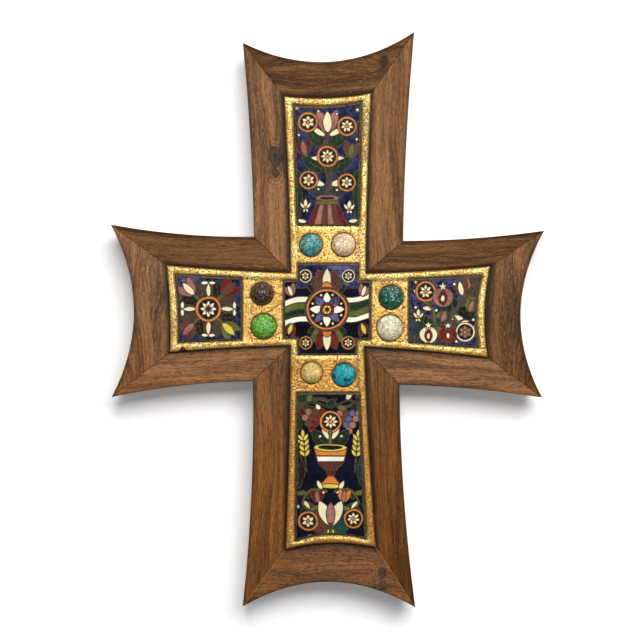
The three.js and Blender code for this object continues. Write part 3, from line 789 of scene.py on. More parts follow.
def add_gilding():
    """The gilded cross as one closed skin: border, fields, recesses and seats in a single relief."""
    outer = evenly(loop_at("gilded_cross", GILT_BACK), EDGE_STEP, True)
    plaques = [evenly(loop_at(n, depths(n)[0]), EDGE_STEP, True) for n in PLAQUE_NAMES]
    spots = [cabochon_spot(n) for n in CABOCHON_NAMES]
    points, faces = gilding_plan(outer, plaques, spots)
    levels, *shares = gilded_relief(points, outer, plaques, spots)
    bm = bmesh.new()
    wear, flat, crest = [bm.verts.layers.float.new(n) for n in ("wear", "flat", "crest")]
    corners = {}
    for i in sorted(set(faces.ravel().tolist())):
        point = Vector(points[i])
        hand = uneven(point, *GESSO, 3.0) if levels[i] > GROUND + 1 else 0
        corners[i] = bm.verts.new(at(point, levels[i] + hand))
        for layer, share in zip((wear, flat, crest), shares):
            corners[i][layer] = share[i]
    for face in faces.tolist():
        bm.faces.new([corners[i] for i in face])
    rim = [e for e in bm.edges if e.is_boundary]
    wall = bmesh.ops.extrude_edge_only(bm, edges=rim)["geom"]
    for vertex in [g for g in wall if isinstance(g, bmesh.types.BMVert)]:
        vertex.co.y = -GILT_BACK * MM
        # The gilding's sides get darkened leaf: worn leaf and painted shade between the gold and the wood
        vertex[wear] = SIDE_WEAR_AND_SHADE
    bmesh.ops.holes_fill(bm, edges=[e for e in bm.edges if e.is_boundary])
    face_outwards(bm)
    add_object("gilding", bm, [gold_leaf()], "gilded_cross", 50)


# Glass cabochons

# Body colour, pale fleck colour, which also makes the painted glints, dark fault colour, how strongly
# flecked, and how strong the shine
STONES = {
    "turquoise": ((10, 108, 112), (140, 200, 180), (4, 60, 64), 0.42, 1.0),
    "cream": ((196, 166, 124), (238, 226, 198), (158, 124, 84), 0.7, 1.0),
    "teal": ((0, 70, 56), (50, 140, 116), (0, 34, 32), 0.32, 0.9),
    "white": ((186, 180, 144), (240, 238, 216), (142, 132, 96), 0.8, 1.0),
    "cyan": ((0, 136, 150), (20, 196, 206), (0, 48, 52), 0.45, 0.55),
    "straw": ((194, 158, 76), (230, 214, 142), (138, 108, 44), 0.6, 1.0),
    "green": ((68, 138, 28), (150, 204, 92), (34, 92, 14), 0.55, 0.7),
    "garnet": ((20, 10, 8), (180, 134, 112), (7, 3, 2), 0.18, 1.0),
}
# How far the faults tilt the shine
FACET_TILT = 0.9
# Rounding of a stone's foot, how far its girdle stays under the field, how far out of round it is,
# and the steps of its dome and round it
FOOT_ROUND = 0.3
GIRDLE_UNDER = 0.25
OUT_OF_ROUND = 0.012
DOME_STEPS = 14
STONE_SIDES = 72


def stone_glass(name):
    """Crackled, foiled glass whose faults break up its shine, with small painted glints in its colour."""
    *colours, amount, shine = STONES[name]
    body, fleck, fault = [srgb(*c) for c in colours]
    s = Shader(name + " glass")
    where = s.place()
    bent = s.noise(where, 0.5, 2, output=1)
    where = s.vector("ADD", where, s.scaled(bent, 2.4))
    cloud = s.noise(where, 0.28, 4, 0.65)
    shade = s.node("SeparateColor", {0: s.cells(where, 1.2, "F1", 1)})
    seams = s.cells(where, 1.2, "DISTANCE_TO_EDGE")
    glint = s.cells(where, 1.8, "F1")
    colour = s.mix(s.between(cloud, 0.38, 0.58), fault, body)
    colour = s.mix(s.times(s.between(shade, 0.4, 1.0), amount), colour, fleck)
    colour = s.mix(s.between(seams, 0.0, 0.1, 0.4 * amount, 0.0), colour, fleck)
    # Painted glints: small spots of the fleck colour
    colour = s.mix(s.between(glint, 0.05, 0.22, 0.9 * amount, 0.0), colour, fleck)
    tilt = s.scaled(s.vector("SUBTRACT", s.cells(where, 1.4, "F1", 1), (0.5, 0.5, 0.5)), FACET_TILT)
    facets = s.vector("NORMALIZE", s.vector("ADD", s.node("NewGeometry", output=1), tilt))
    return s.finish(base_color=colour, roughness=0.4, specular_ior_level=0.1,
                    normal=s.bump(glint, 0.3, 0.7), coat_weight=shine, coat_roughness=0.05,
                    coat_ior=1.5, coat_normal=facets)


def add_cabochon(node):
    """A domed stone on the CAD stone's foot, with a rounded girdle."""
    name = node.replace("_cabochon", "")
    middle, radius, foot, top = cabochon_spot(node)
    girdle = FIELD - foot - GIRDLE_UNDER
    profile = [(radius - FOOT_ROUND, 0.0), (radius, FOOT_ROUND), (radius, girdle)]
    for step in range(1, DOME_STEPS):
        angle = step / DOME_STEPS * math.pi / 2
        profile.append((radius * math.cos(angle), girdle + (top - foot - girdle) * math.sin(angle)))
    rings = []
    for far, depth in profile:
        ring = []
        for i, way in enumerate(circle(STONE_SIDES)):
            swell = 1 + OUT_OF_ROUND * math.sin(2 * math.tau * i / STONE_SIDES + radius)
            ring.append(at(middle + way * far * swell, foot + depth))
        rings.append(ring)
    bm = bmesh.new()
    rows = loft(bm, rings, caps=False)
    tip = bm.verts.new(at(middle, top))
    for a, b in sides_of(rows[-1]):
        bm.faces.new((a, b, tip))
    bm.faces.new(rows[0])
    face_outwards(bm)
    add_object(name + "_stone", bm, [stone_glass(name)], node, 60)


# Enamel colours

# Colour, second colour that mottles it, and how far
ENAMELS = {
    "cobalt": ((10, 11, 38), (50, 56, 98), 0.6),
    "navy": ((3, 3, 9), (13, 15, 42), 0.45),
    "lavender": ((88, 90, 132), (28, 30, 74), 0.75),
    "dusk": ((66, 67, 98), (12, 13, 38), 0.9),
    "slate": ((28, 40, 52), (50, 66, 84), 0.5),
    "white": ((232, 228, 208), (206, 200, 174), 0.35),
    "cream": ((224, 213, 176), (194, 181, 138), 0.35),
    "orange": ((208, 124, 54), (176, 90, 36), 0.5),
    "red": ((110, 28, 25), (70, 17, 15), 0.6),
    "rose": ((96, 55, 46), (68, 37, 32), 0.5),
    "pink": ((154, 106, 94), (116, 70, 62), 0.5),
    "olive": ((96, 98, 44), (64, 68, 30), 0.5),
    "yellow": ((206, 190, 78), (168, 148, 44), 0.4),
    "teal": ((16, 50, 52), (28, 74, 74), 0.45),
    "taupe": ((74, 62, 52), (46, 38, 32), 0.5),
    "green": ((16, 36, 24), (36, 60, 36), 0.5),
    "brown": ((25, 19, 15), (48, 37, 27), 0.45),
}
LINE = "line"


def enamel(name):
    """Fired glass: clouded, streaked and faintly pitted, under a thin gloss."""
    *colours, amount = ENAMELS[name]
    colour, other = [srgb(*c) for c in colours]
    s = Shader(name + " enamel")
    where = s.place()
    patches = s.noise(where, 0.09, 3, 0.6, 0.6)
    mottle = s.noise(where, 0.55, 4, 0.7, 0.6)
    grains = s.noise(where, 2.6, 2, 0.6)
    pits = s.cells(where, 1.6, "F1")
    clouded = s.plus(s.times(patches, 0.5), s.times(mottle, 0.5))
    base = s.mix(s.between(clouded, 0.44, 0.6, 0.0, amount * 1.4), colour, other)
    base = s.mix(s.between(grains, 0.55, 0.75, 0.0, amount * 0.7), base, other)
    height = s.plus(mottle, s.between(pits, 0.0, 0.12, -0.5, 0.0))
    return s.finish(base_color=base, roughness=0.13, normal=s.bump(height, 0.02, 0.5),
                    specular_ior_level=0.16, coat_weight=0.12, coat_roughness=0.04)


BRONZE_DARK = srgb(28, 23, 16)
BRONZE_LIGHT = srgb(84, 73, 50)


def enamel_line():
    """Metal lines between the cells: bronze, dark with age."""
    s = Shader("dark bronze lines")
    cloud = s.noise(s.place(), 0.8, 3)
    colour = s.ramp(cloud, [(0.35, BRONZE_DARK), (0.65, BRONZE_LIGHT)])
    return s.finish(base_color=colour, metallic=0.25, roughness=s.between(cloud, 0.3, 0.7, 0.45, 0.6),
                    normal=s.bump(cloud, 0.1, 0.4), specular_ior_level=0.25)


# Enamel drawing

LINE_WIDTH = 0.5


def oval(x, z, rx, rz=None):
    """A loop about a point, round unless its second radius differs."""
    rz = rz or rx
    count = max(10, int(6 + rx * 5))
    turns = [math.tau * i / count for i in range(count)]
    return [Vector((x + rx * math.cos(t), z + rz * math.sin(t))) for t in turns]


def leaf(x, z, length, width, turn, lean=0.0):
    """A leaf from its foot at a point, turned from straight up; it leans to one side at its tip."""
    way = Vector(turned(turn))
    side = right_of(way)
    foot = Vector((x, z))
    steps = 9
    rows = []
    for i in range(steps + 1):
        t = i / steps
        half = width / 2 * math.sin(math.pi * min(1, t * 0.97 + 0.03)) ** 0.75
        rows.append((foot + way * length * t + side * lean * t * t, side * half))
    return [m + s for m, s in rows] + [m - s for m, s in rows[-2:0:-1]]


def band(points, width, end_width=None):
    """A stroke along a smooth path, which may taper."""
    path = [Vector(p) for p in points]
    length = sum((b - a).length for a, b in zip(path, path[1:]))
    steps = max(4, int(length / 1.3))
    middle = [spline(path, i / steps) for i in range(steps + 1)]
    end_width = width if end_width is None else end_width
    right, left = [], []
    for i, point in enumerate(middle):
        way = (middle[min(i + 1, steps)] - middle[max(i - 1, 0)]).normalized()
        half = (width + (end_width - width) * i / steps) / 2
        side = right_of(way) * half
        right.append(point + side)
        left.append(point - side)
    return right + left[::-1]


def panel(*points):
    return [Vector(p) for p in points]


def anticlockwise(loop):
    area = sum(a.cross(b) for a, b in sides_of(loop))
    return loop if area > 0 else loop[::-1]


def flipped(shapes):
    """Shapes mirrored about the plaque's upright axis."""
    return [([Vector((-p.x, p.y)) for p in loop], colour) for loop, colour in shapes]


def both_sides(shapes):
    return shapes + flipped(shapes)


def shifted(shapes, x, z):
    return [([p + Vector((x, z)) for p in loop], colour) for loop, colour in shapes]


def halo_flower(x, z, radius, petals=6, ring="orange", petal="cream"):
    """A flower inside a coloured ring."""
    made = [(oval(x, z, radius), ring), (oval(x, z, radius * 0.78), "brown")]
    for i in range(petals):
        made.append((leaf(x, z, radius * 0.65, radius * 2.4 / petals, 360 / petals * i), petal))
    return made + [(oval(x, z, radius * 0.18), "orange")]


def veined_leaf(x, z, length, width, turn, colour, lean=0.0):
    """A broad leaf with a midrib and side veins of metal."""
    way = Vector(turned(turn))
    side = right_of(way)
    rib = [Vector((x, z)) + way * length * t + side * lean * t * t for t in (0.1, 0.35, 0.6, 0.88)]
    made = [(leaf(x, z, length, width, turn, lean), colour), (band(rib, 0.42, 0.2), LINE)]
    for start in rib[:3]:
        for hand in (1, -1):
            end = start + way * length * 0.13 + side * hand * width * 0.27
            made.append((band([start, end], 0.34, 0.16), LINE))
    return made


def dots(places, radius, colour):
    return [(oval(x, z, radius), colour) for x, z in places]


def tulip(x, z, size, turn, outer, middle):
    """A three-petalled flower that opens along its turn."""
    return [
        (leaf(x, z, size, size * 0.42, turn + 24), outer),
        (leaf(x, z, size, size * 0.42, turn - 24), outer),
        (leaf(x, z, size * 0.86, size * 0.34, turn), middle),
    ]


def lily(x, z, size):
    """A small pale fleur with three petals above and two below."""
    made = [(leaf(x, z, size * 0.7, size * 0.3, 0), "cream")]
    for side in (1, -1):
        made.append((leaf(x, z, size * 0.55, size * 0.24, 62 * side, side * size * 0.16), "cream"))
        made.append((leaf(x, z, size * 0.36, size * 0.2, 150 * side), "cream"))
    return made + [(oval(x, z, size * 0.1), "orange")]


def vine(points, width, leaves, length, colours, stem="green"):
    """A stem with leaves on alternate sides."""
    path = [Vector(p) for p in points]
    made = []
    for i in range(leaves):
        t = (i + 0.6) / leaves
        here, there = spline(path, t), spline(path, min(1, t + 0.02))
        way = there - here
        if way.length < 1e-6:
            way = here - spline(path, t - 0.02)
        heading = math.degrees(math.atan2(-way.x, way.y))
        turn = heading + (52 if i % 2 else -52)
        made.append((leaf(here.x, here.y, length, length * 0.42, turn), colours[i % len(colours)]))
    return made + [(band(points, width, width * 0.6), stem)]


def folds(x, z, top, bottom, height, colours):
    """A flared body of upright panels, like a fluted vase or bell."""
    count = len(colours)
    made = []
    for i, colour in enumerate(colours):
        a, b = i / count - 0.5, (i + 1) / count - 0.5
        drop = height * 0.06 * (1 - (2 * (a + b) / 2) ** 2)
        low_point = (x + (a + b) / 2 * bottom, z - drop - 0.4)
        made.append((panel((x + a * bottom, z), low_point, (x + b * bottom, z),
                           (x + b * top, z + height), (x + a * top, z + height)), colour))
    return made


def grapes(x, z, colours):
    """A bunch of round fruit, hanging down."""
    size, rows = 4, 4
    made = []
    for row in range(rows):
        count = rows - row
        for i in range(count):
            spot = (x + (i - (count - 1) / 2) * size, z - row * size * 0.88)
            made.append((oval(*spot, size * 0.52), colours[(row + i) % len(colours)]))
    return made


def wheat(x, z, length, turn):
    """A yellow ear of grain."""
    way = Vector(turned(turn))
    foot = Vector((x, z))
    made = [(band([foot, foot + way * length * 0.6], 0.7), "olive")]
    for i in range(4):
        here = foot + way * length * (0.42 + 0.14 * i)
        for side in (38, -38):
            made.append((leaf(here.x, here.y, length * 0.22, length * 0.1, turn + side), "yellow"))
    tip = foot + way * length * 0.92
    return made + [(leaf(tip.x, tip.y, length * 0.24, length * 0.1, turn), "yellow")]


def star(x, z, radius, points, colour):
    made = []
    for i in range(points * 2):
        far = radius if i % 2 == 0 else radius * 0.45
        angle = math.pi * i / points + math.pi / 2
        made.append(Vector((x + far * math.cos(angle), z + far * math.sin(angle))))
    return [(made, colour)]


def top_drawing():
    """A flowering tree in a wide fluted vase, with five ringed flowers among large leaves."""
    made = both_sides([(panel((-22, -37), (-22, -1), (-16.8, -5), (-15.4, -21), (-17.6, -37)), "green"),
                       (panel((-22, 3), (-23, 31), (-18.6, 25), (-17.4, 9)), "brown")])
    made += both_sides([(band([(-19.4, -35), (-18.6, -20), (-19.6, -5)], 0.4), LINE)])
    left = veined_leaf(-1.5, -21, 18, 8.5, 50, "slate", 1.5)
    left += veined_leaf(-1.5, -5, 17, 7.5, 60, "green", 1)
    left += veined_leaf(-1.2, 10, 16, 7.5, 50, "green", 1) + [(leaf(-1.6, -13, 11, 4, 74), "cream")]
    left += [(leaf(-1.5, 3, 9, 3.2, 86), "cream"), (leaf(-1, 17, 10, 3.6, 60), "cream")]
    made += left + flipped(left)
    made += [(band([(0, -24), (1, -8), (-1, 6), (0, 24)], 3.6, 2.2), "taupe")]
    made += tulip(-13.5, 5, 11, 12, "red", "pink") + tulip(13.8, 3.5, 11, -10, "rose", "olive")
    made += tulip(0, 19, 15.5, 0, "pink", "cream")
    made += halo_flower(-12, 25.5, 6.2) + halo_flower(12, 23, 6.0, 7)
    made += halo_flower(0, 4.5, 6.6, 8) + halo_flower(-11.5, -10, 5.8) + halo_flower(11.8, -11.5, 5.6)
    made += folds(0, -37, 11, 24, 15.5, ["red", "pink", "rose", "pink", "rose", "red"])
    made += [(panel((-7.4, -25), (7.4, -25), (6.4, -22.2), (-6.4, -22.2)), "olive"),
             (oval(0, -21, 7, 1.8), "pink"), (oval(0, -21.1, 4.8, 0.8), "brown")]
    made += both_sides([(leaf(-12.6, -35.5, 6.4, 2.6, 82), "cream")])
    made += lily(-13.4, -27, 8) + lily(13.4, -28, 8)
    made += dots([(-5.4, 32), (5.6, 30.5), (-17.6, 17.6), (17.8, 15), (-5.6, -15.5), (5.8, -16)],
                 0.9, "cream")
    return made + star(-18.6, 34, 1.8, 5, "yellow") + star(18.4, 33, 1.8, 5, "cream")


def bottom_drawing():
    """A cup between ears of grain under a vine with fruit, and flowers below."""
    made = [(panel((-24, 44), (-24, 20), (-17.5, 24), (-15, 44)), "green"),
            (panel((24, 44), (24, 22), (18, 25), (15.5, 44)), "slate"),
            (band([(-20, 37), (-8, 42), (8, 37), (20, 42)], 2.2, 1.6), "taupe")]
    made += vine([(-19, 34), (-12, 40), (0, 37), (12, 41), (19, 35)], 1.4, 8, 8,
                 ["green", "olive", "cream"])
    made += grapes(-11.5, 34, ["red", "pink", "rose"])
    made += grapes(11.5, 33, ["pink", "rose", "lavender"])
    made += both_sides(veined_leaf(-1, 12, 15, 7.5, 48, "green", 1)
                       + [(leaf(-1, 17, 9, 3.2, 30), "cream")])
    made += halo_flower(0, 28, 6.8, 8)
    made += veined_leaf(-19.5, -13, 22, 8, 4, "brown", 1)
    made += veined_leaf(19.5, -13, 22, 8, -4, "teal", -1)
    made += both_sides(wheat(-14.8, -3, 23, 5))
    made += [(band([(0, 23), (0, 10)], 1.8), "olive"),
             (panel((-10, 12), (-8.4, 3), (-3.6, -2), (3.6, -2), (8.4, 3), (10, 12)), "rose"),
             (panel((-9.9, 11.4), (9.9, 11.4), (9.0, 7.0), (-9.0, 7.0)), "orange"),
             (oval(0, 12, 10, 2.3), "yellow"), (oval(0, 12.2, 7.2, 1.2), "brown"),
             (panel((-8.9, 6.6), (8.9, 6.6), (8.0, 3.4), (-8.0, 3.4)), "white"),
             (oval(0, -3.6, 2.9, 1.8), "red"),
             (panel((-1.8, -5.4), (1.8, -5.4), (6.6, -11.4), (-6.6, -11.4)), "orange"),
             (oval(0, -11.6, 6.8, 1.5), "yellow")]
    made += veined_leaf(-2, -43, 25, 10, 34, "rose", 2) + veined_leaf(2, -43, 25, 10, -34, "teal", -2)
    made += both_sides(vine([(-2, -15), (-12, -14), (-17, -22), (-12, -27)], 1.5, 6, 7,
                            ["cream", "green", "olive"], "olive"))
    made += halo_flower(-13.8, -33, 6.2) + halo_flower(14, -31.5, 6.0, 7)
    made += tulip(-7.6, -22, 9, 8, "red", "pink") + tulip(7.8, -21.5, 9, -8, "orange", "pink")
    made += tulip(0, -36, 17, 0, "cream", "pink") + [(band([(0, -45), (0, -34)], 2.2), "taupe")]
    made += folds(0, -46, 6, 14, 8, ["olive", "yellow", "olive", "yellow", "olive"])
    made += both_sides([(leaf(-8.5, -42.6, 6, 2.3, 84), "cream")])
    made += dots([(-4.4, -15.5), (4.4, -15.5), (-19.5, 16), (19.5, 15), (-6.4, 19), (6.6, 19)],
                 0.9, "cream")
    return made + star(-20, -24, 1.8, 5, "cream") + star(20.4, -23, 1.8, 5, "cream")


def left_drawing():
    """A large ringed flower in a lozenge, with a tulip in each corner."""
    made = [(panel((-21, 21), (-21, 2), (-3, 21)), "lavender"),
            (panel((0, 20), (-20, 0), (0, -20), (20, 0)), "navy")]
    made += dots([(-16, 9), (-9.5, 16.5), (-13, 4), (-17, 16)], 1.0, "navy")
    petals = ((45, "pink", "cream"), (135, "rose", "pink"), (225, "olive", "yellow"), (315, "red", "rose"))
    for turn, petal, middle in petals:
        x, z = turned(turn)
        for side, colour in ((48, "brown"), (-48, "taupe")):
            made += veined_leaf(x * 8, z * 8, 12, 6, turn + side, colour)
        made += [(band([(x * 6, z * 6), (x * 15, z * 15)], 1.6), "olive")]
        made += tulip(x * 12, z * 12, 12.5, turn, petal, middle)
    for turn in (0, 90, 180, 270):
        x, z = turned(turn)
        made.append((leaf(x * 6.5, z * 6.5, 11, 5.6, turn), "taupe"))
        made.append((leaf(x * 7.4, z * 7.4, 8.4, 3, turn), "cream"))
        made += [(leaf(x * 16, z * 16, 4.6, 2.2, turn + side), "white") for side in (90, -90)]
    return made + halo_flower(0, 0, 8.0, 8, petal="white") + star(0, 0, 2.8, 8, "red")


def right_drawing():
    """A branch with three fruits, blossoms and leaves."""
    made = [(panel((-21, -2), (-21, -21), (-6, -21), (-10, -8)), "slate"),
            (panel((8, 21), (21, 21), (21, 4), (12, 8)), "taupe")]
    made += veined_leaf(-7, -8, 15, 7.5, 70, "green", 1) + veined_leaf(2, -2, 15, 7.5, 14, "green", 1)
    made += veined_leaf(6, 2, 15, 7.5, -110, "brown", 1) + veined_leaf(0, -4, 15, 7, 176, "slate", 1)
    made += vine([(-19, -17), (-10, -9), (0, -6), (8.6, 4), (16.8, 16)], 2.6, 8, 8.5,
                 ["cream", "green", "olive", "pink"], "taupe")
    made += vine([(-6, -8), (-8, 2), (-15, 8), (-12, 15)], 1.6, 5, 6.6, ["olive", "cream"], "olive")
    made += vine([(4, -2), (9, -7.6), (14, -7.6), (15.6, -15.4)], 1.6, 5, 6.0, ["rose", "cream"], "olive")
    made += halo_flower(-12, 12.6, 6.4, 7) + halo_flower(12.2, -12.2, 6.0, ring="cream", petal="pink")
    for x, z, size, skin in ((-1.5, 9, 6.4, "pink"), (-10.4, -14, 5.6, "cream"), (1.6, -14, 5.4, "red")):
        made += [(oval(x, z, size, size * 0.92), skin),
                 (leaf(x, z - size * 0.8, size * 1.5, size * 0.85, 0), "red"),
                 (oval(x, z - size * 0.1, size * 0.2, size * 0.34), "cream")]
        made += star(x, z + size * 1.05, size * 0.46, 5, "cream")
    made += tulip(10.5, 10, 10.5, 12, "rose", "cream") + tulip(14.6, 0, 9, -18, "olive", "pink")
    made += lily(-16.5, -3.4, 8)
    made += dots([(5.6, 17), (-18, 3), (17.2, -4.6), (-5.6, 1), (7, -18)], 1.0, "white")
    return made + star(-18, 18.5, 1.6, 5, "cream")


def middle_drawing():
    """A great star in a ring between striped ribbons, with a fan of leaves in each arm."""
    made = [(panel((-19, 27.5), (-19, 13), (0, 13), (0, 27.5)), "cobalt"),
            (panel((0, 27.5), (0, 13), (19, 13), (19, 27.5)), "lavender")]
    for z, colour in ((-6, "white"), (-1.8, "green"), (2.2, "olive"), (6, "white")):
        made.append((band([(-27, z - 3), (-18, z), (-8, z)], 3.4), colour))
        made.append((band([(8, -z), (18, -z), (27, 3 - z)], 3.4), colour))
    for turn, colours in ((0, ("brown", "taupe", "rose")), (180, ("green", "olive", "red"))):
        x, z = turned(turn)
        for fan, colour in zip((-70, -46, -22, 70, 46, 22), colours * 2):
            made += veined_leaf(x * 10, z * 10, 17 - abs(fan) * 0.06, 7, turn + fan, colour)
        made += [(leaf(x * 10, z * 10, 15.5, 5.4, turn), "cream"), (oval(x * 14, z * 14, 3), "orange")]
    for x in (-1, 1):
        made += halo_flower(x * 13.2, 20.5, 4.2, ring="cream") + halo_flower(x * 13, -20.5, 4.2)
        made += tulip(x * 21.4, 8, 8.5, -18 * x, "pink", "cream")
        made += tulip(x * 21.4, -8.5, 8.5, 180 + 18 * x, "red", "yellow")
    made += [(oval(0, 0, 13.6), "taupe"), (oval(0, 0, 12.6), "orange"), (oval(0, 0, 11.1), "navy")]
    for i in range(8):
        turn = i * 45
        made.append((leaf(0, 0, 10.8, 5, turn), "white" if i % 2 == 0 else "lavender"))
        x, z = turned(turn + 22.5)
        made.append((oval(x * 9.4, z * 9.4, 0.9), "cream"))
    return made + [(oval(0, 0, 4.4), "red"), (oval(0, 0, 2.8), "yellow")] + star(0, 0, 2.0, 6, "brown")


DRAWINGS = {
    "top_plaque": ("cobalt", top_drawing),
    "right_plaque": ("dusk", right_drawing),
    "bottom_plaque": ("navy", bottom_drawing),
    "left_plaque": ("cobalt", left_drawing),
    "middle_plaque": ("navy", middle_drawing),
}
# Spacing of the points on a plaque's rim, the rim's width, eased edge and inner slope, how far the
# field lies under the rim, and how deep and how sloped the cells are
RIM_STEP = 1.5
RIM_WIDTH = 1.15
RIM_EASE = 0.12
RIM_SLOPE = 0.1
FIELD_DROP = 0.2
CELL_SINK = 0.12
CELL_SLOPE = 0.1
# Size and height of the wobble of a drawn line, and how far apart two plaques are in the noise
WOBBLE_SIZE = 6
WOBBLE = 0.35
SEED_APART = 3.7


def hand_drawn(loop, seed):
    """A loop with the small wobble of a hand."""
    return [p + Vector((lumps(p, WOBBLE_SIZE, seed), lumps(p, WOBBLE_SIZE, seed + 9))) * WOBBLE
            for p in loop]


def drawn_shapes(node, inner, middle, seed):
    """The outlines on a plaque with their colours: its ground, then each shape in a line of metal."""
    ground, drawing = DRAWINGS[node]
    made = [(inner, ground)]
    for loop, colour in shifted(drawing(), middle.x, middle.y):
        loop = hand_drawn(anticlockwise(loop), seed)
        if colour == LINE:
            made.append((loop, LINE))
            continue
        made.append((grown(loop, LINE_WIDTH / 2), LINE))
        made.append((grown(loop, -LINE_WIDTH / 2), colour))
    return made


def shape_on_top(points, shapes):
    """Number of the last shape that holds each point; -1 outside the first."""
    owner = np.full(len(points), -1)
    for i, (loop, _) in enumerate(shapes):
        owner[inside(points, loop) & ((owner >= 0) | (i == 0))] = i
    return owner


def add_plaque(node, seed, palette, metals):
    """An enamel plaque: metal plate, raised rim, and sunk cells of enamel between metal lines."""
    back, front = depths(node)
    level = front - FIELD_DROP
    outer = anticlockwise(evenly(loop_at(node, back), RIM_STEP, True))
    low = Vector((min(p.x for p in outer), min(p.y for p in outer)))
    high = Vector((max(p.x for p in outer), max(p.y for p in outer)))
    shapes = drawn_shapes(node, grown(outer, -RIM_WIDTH), (low + high) / 2, seed)
    points, faces = triangles([loop for loop, _ in shapes])
    owner = shape_on_top(points[faces].mean(axis=1), shapes)
    names = [LINE] + sorted({colour for _, colour in shapes} - {LINE})
    bm = bmesh.new()
    corners = [bm.verts.new(at(Vector(p), level)) for p in points]
    for face, i in zip(faces[owner >= 0].tolist(), owner[owner >= 0].tolist()):
        made = bm.faces.new([corners[j] for j in face])
        made.material_index = names.index(shapes[i][1])
    bmesh.ops.delete(bm, geom=[v for v in bm.verts if not v.link_faces], context="VERTS")
    cells = [f for f in bm.faces if f.material_index]
    bmesh.ops.inset_region(bm, faces=cells, thickness=CELL_SLOPE * MM, depth=-CELL_SINK * MM,
                           use_boundary=False, use_even_offset=False)
    rim = [(0, back), (0, front - RIM_EASE), (-RIM_EASE, front), (RIM_SLOPE - RIM_WIDTH, front),
           (-RIM_WIDTH, level)]
    loft(bm, [[at(p, depth) for p in grown(outer, shift)] for shift, depth in rim], caps=False)
    bm.faces.new([bm.verts.new(at(p, back)) for p in outer])
    face_outwards(bm)
    for made in bm.faces:
        if made.normal.y > 0.5 and made.calc_center_median().y < -(level - 0.5) * MM:
            made.normal_flip()
    materials = [metals] + [palette[n] for n in names[1:]]
    add_object(node + "_enamel", bm, materials, node, 50)


def add_plaques():
    palette = {name: enamel(name) for name in ENAMELS}
    metals = enamel_line()
    for seed, node in enumerate(PLAQUE_NAMES):
        add_plaque(node, seed * SEED_APART + 1, palette, metals)


# Hanger, pins and boards


def worn_metal(name, dark, light, metallic, rough):
    """Dull metal with darker stains."""
    s = Shader(name)
    where = s.place()
    cloud = s.noise(where, 0.5, 4, 0.6)
    scratch = s.noise(s.stretched(where, (3.0, 3.0, 0.4)), 1.2, 3)
    colour = s.ramp(cloud, [(0.35, dark), (0.65, light)])
    rough = s.between(cloud, 0.3, 0.7, rough, rough + 0.2)
    scratched = s.bump(scratch, 0.05, 0.5)
    return s.finish(base_color=colour, metallic=metallic, roughness=rough, normal=scratched)


BRASS_DARK = srgb(96, 74, 40)
BRASS_LIGHT = srgb(176, 142, 84)
STEEL_DARK = srgb(74, 62, 54)
STEEL_LIGHT = srgb(132, 126, 120)
# Least angle of an edge that is softened, in degrees
SHARP = 40
RING_SIDES = 64
WIRE_SIDES = 16


def dress_node(name, material, bevel):
    """A CAD node shown as it is, with a material and softened edges."""
    made = nodes[name]
    made.data.materials.clear()
    made.data.materials.append(material)
    edges = made.modifiers.new("soft edges", "BEVEL")
    edges.width = bevel * MM
    edges.segments = 2
    edges.limit_method = "ANGLE"
    edges.angle_limit = math.radians(SHARP)


def add_ring(brass):
    """The hanger's ring, a round wire."""
    low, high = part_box("hanger_ring")
    middle = (low + high) / 2
    wire = (high.y - low.y) / 2
    radius = (high.x - low.x) / 2 - wire
    bm = bmesh.new()
    rings = []
    turns = [math.tau * j / WIRE_SIDES for j in range(WIRE_SIDES)]
    for way in circle(RING_SIDES):
        out = Vector((way.x, 0, way.y))
        rings.append([middle + out * (radius + wire * math.cos(t)) + Vector((0, wire * math.sin(t), 0))
                      for t in turns])
    loft(bm, rings + rings[:1], caps=False)
    bmesh.ops.remove_doubles(bm, verts=bm.verts, dist=1e-7)
    face_outwards(bm)
    add_object("ring_wire", bm, [brass], "hanger_ring", 60, "ring")


def add_hardware():
    brass = worn_metal("dull brass", BRASS_DARK, BRASS_LIGHT, 0.9, 0.34)
    steel = worn_metal("dull steel", STEEL_DARK, STEEL_LIGHT, 0.85, 0.4)
    add_ring(brass)
    dress_node("hanger_strap", brass, 0.12)
    dress_node("hanger_screw", brass, 0.15)
    for name in nodes_ending("_pin"):
        dress_node(name, steel, 0.12)
    dress_node("upright_board", board_wood("bare upright wood", (1, 1, 0.06)), 0.5)
    dress_node("cross_board", board_wood("bare crossbar wood", (0.06, 1, 1)), 0.5)


# Stage, in metres

FLOOR = -0.6
REACH = 3.0
WALL = 0.0006
CAMERA_PLACE = (-0.0046, -1.105, -0.0065)
CAMERA_LENS = 100
CAMERA_SENSOR = 36
# How far inside the wood's outline the backdrop is open, in millimetres
OPENING_INSET = 3.6
PAPER_DARK = srgb(243, 243, 244)
PAPER_LIGHT = srgb(245, 245, 245)
# Brightness of the room as a light, and as the camera sees it
ROOM_LIGHT = 0.32
ROOM_SEEN = 0.82


def stage_mesh(mesh, material):
    mesh.materials.append(material)
    link(mesh.name, mesh)


def wood_loop():
    """Outline of the wood, chained from the mouldings' outer edges."""
    edges = [edge_at(name, MOULDING_FACE[0]) for name in nodes_ending("_moulding")]
    loop = edges.pop()
    while edges:
        edge = min(edges, key=lambda e: min((e[0] - loop[-1]).length, (e[-1] - loop[-1]).length))
        edges.remove(edge)
        loop += edge if (edge[0] - loop[-1]).length < (edge[-1] - loop[-1]).length else edge[::-1]
    return anticlockwise(loop)


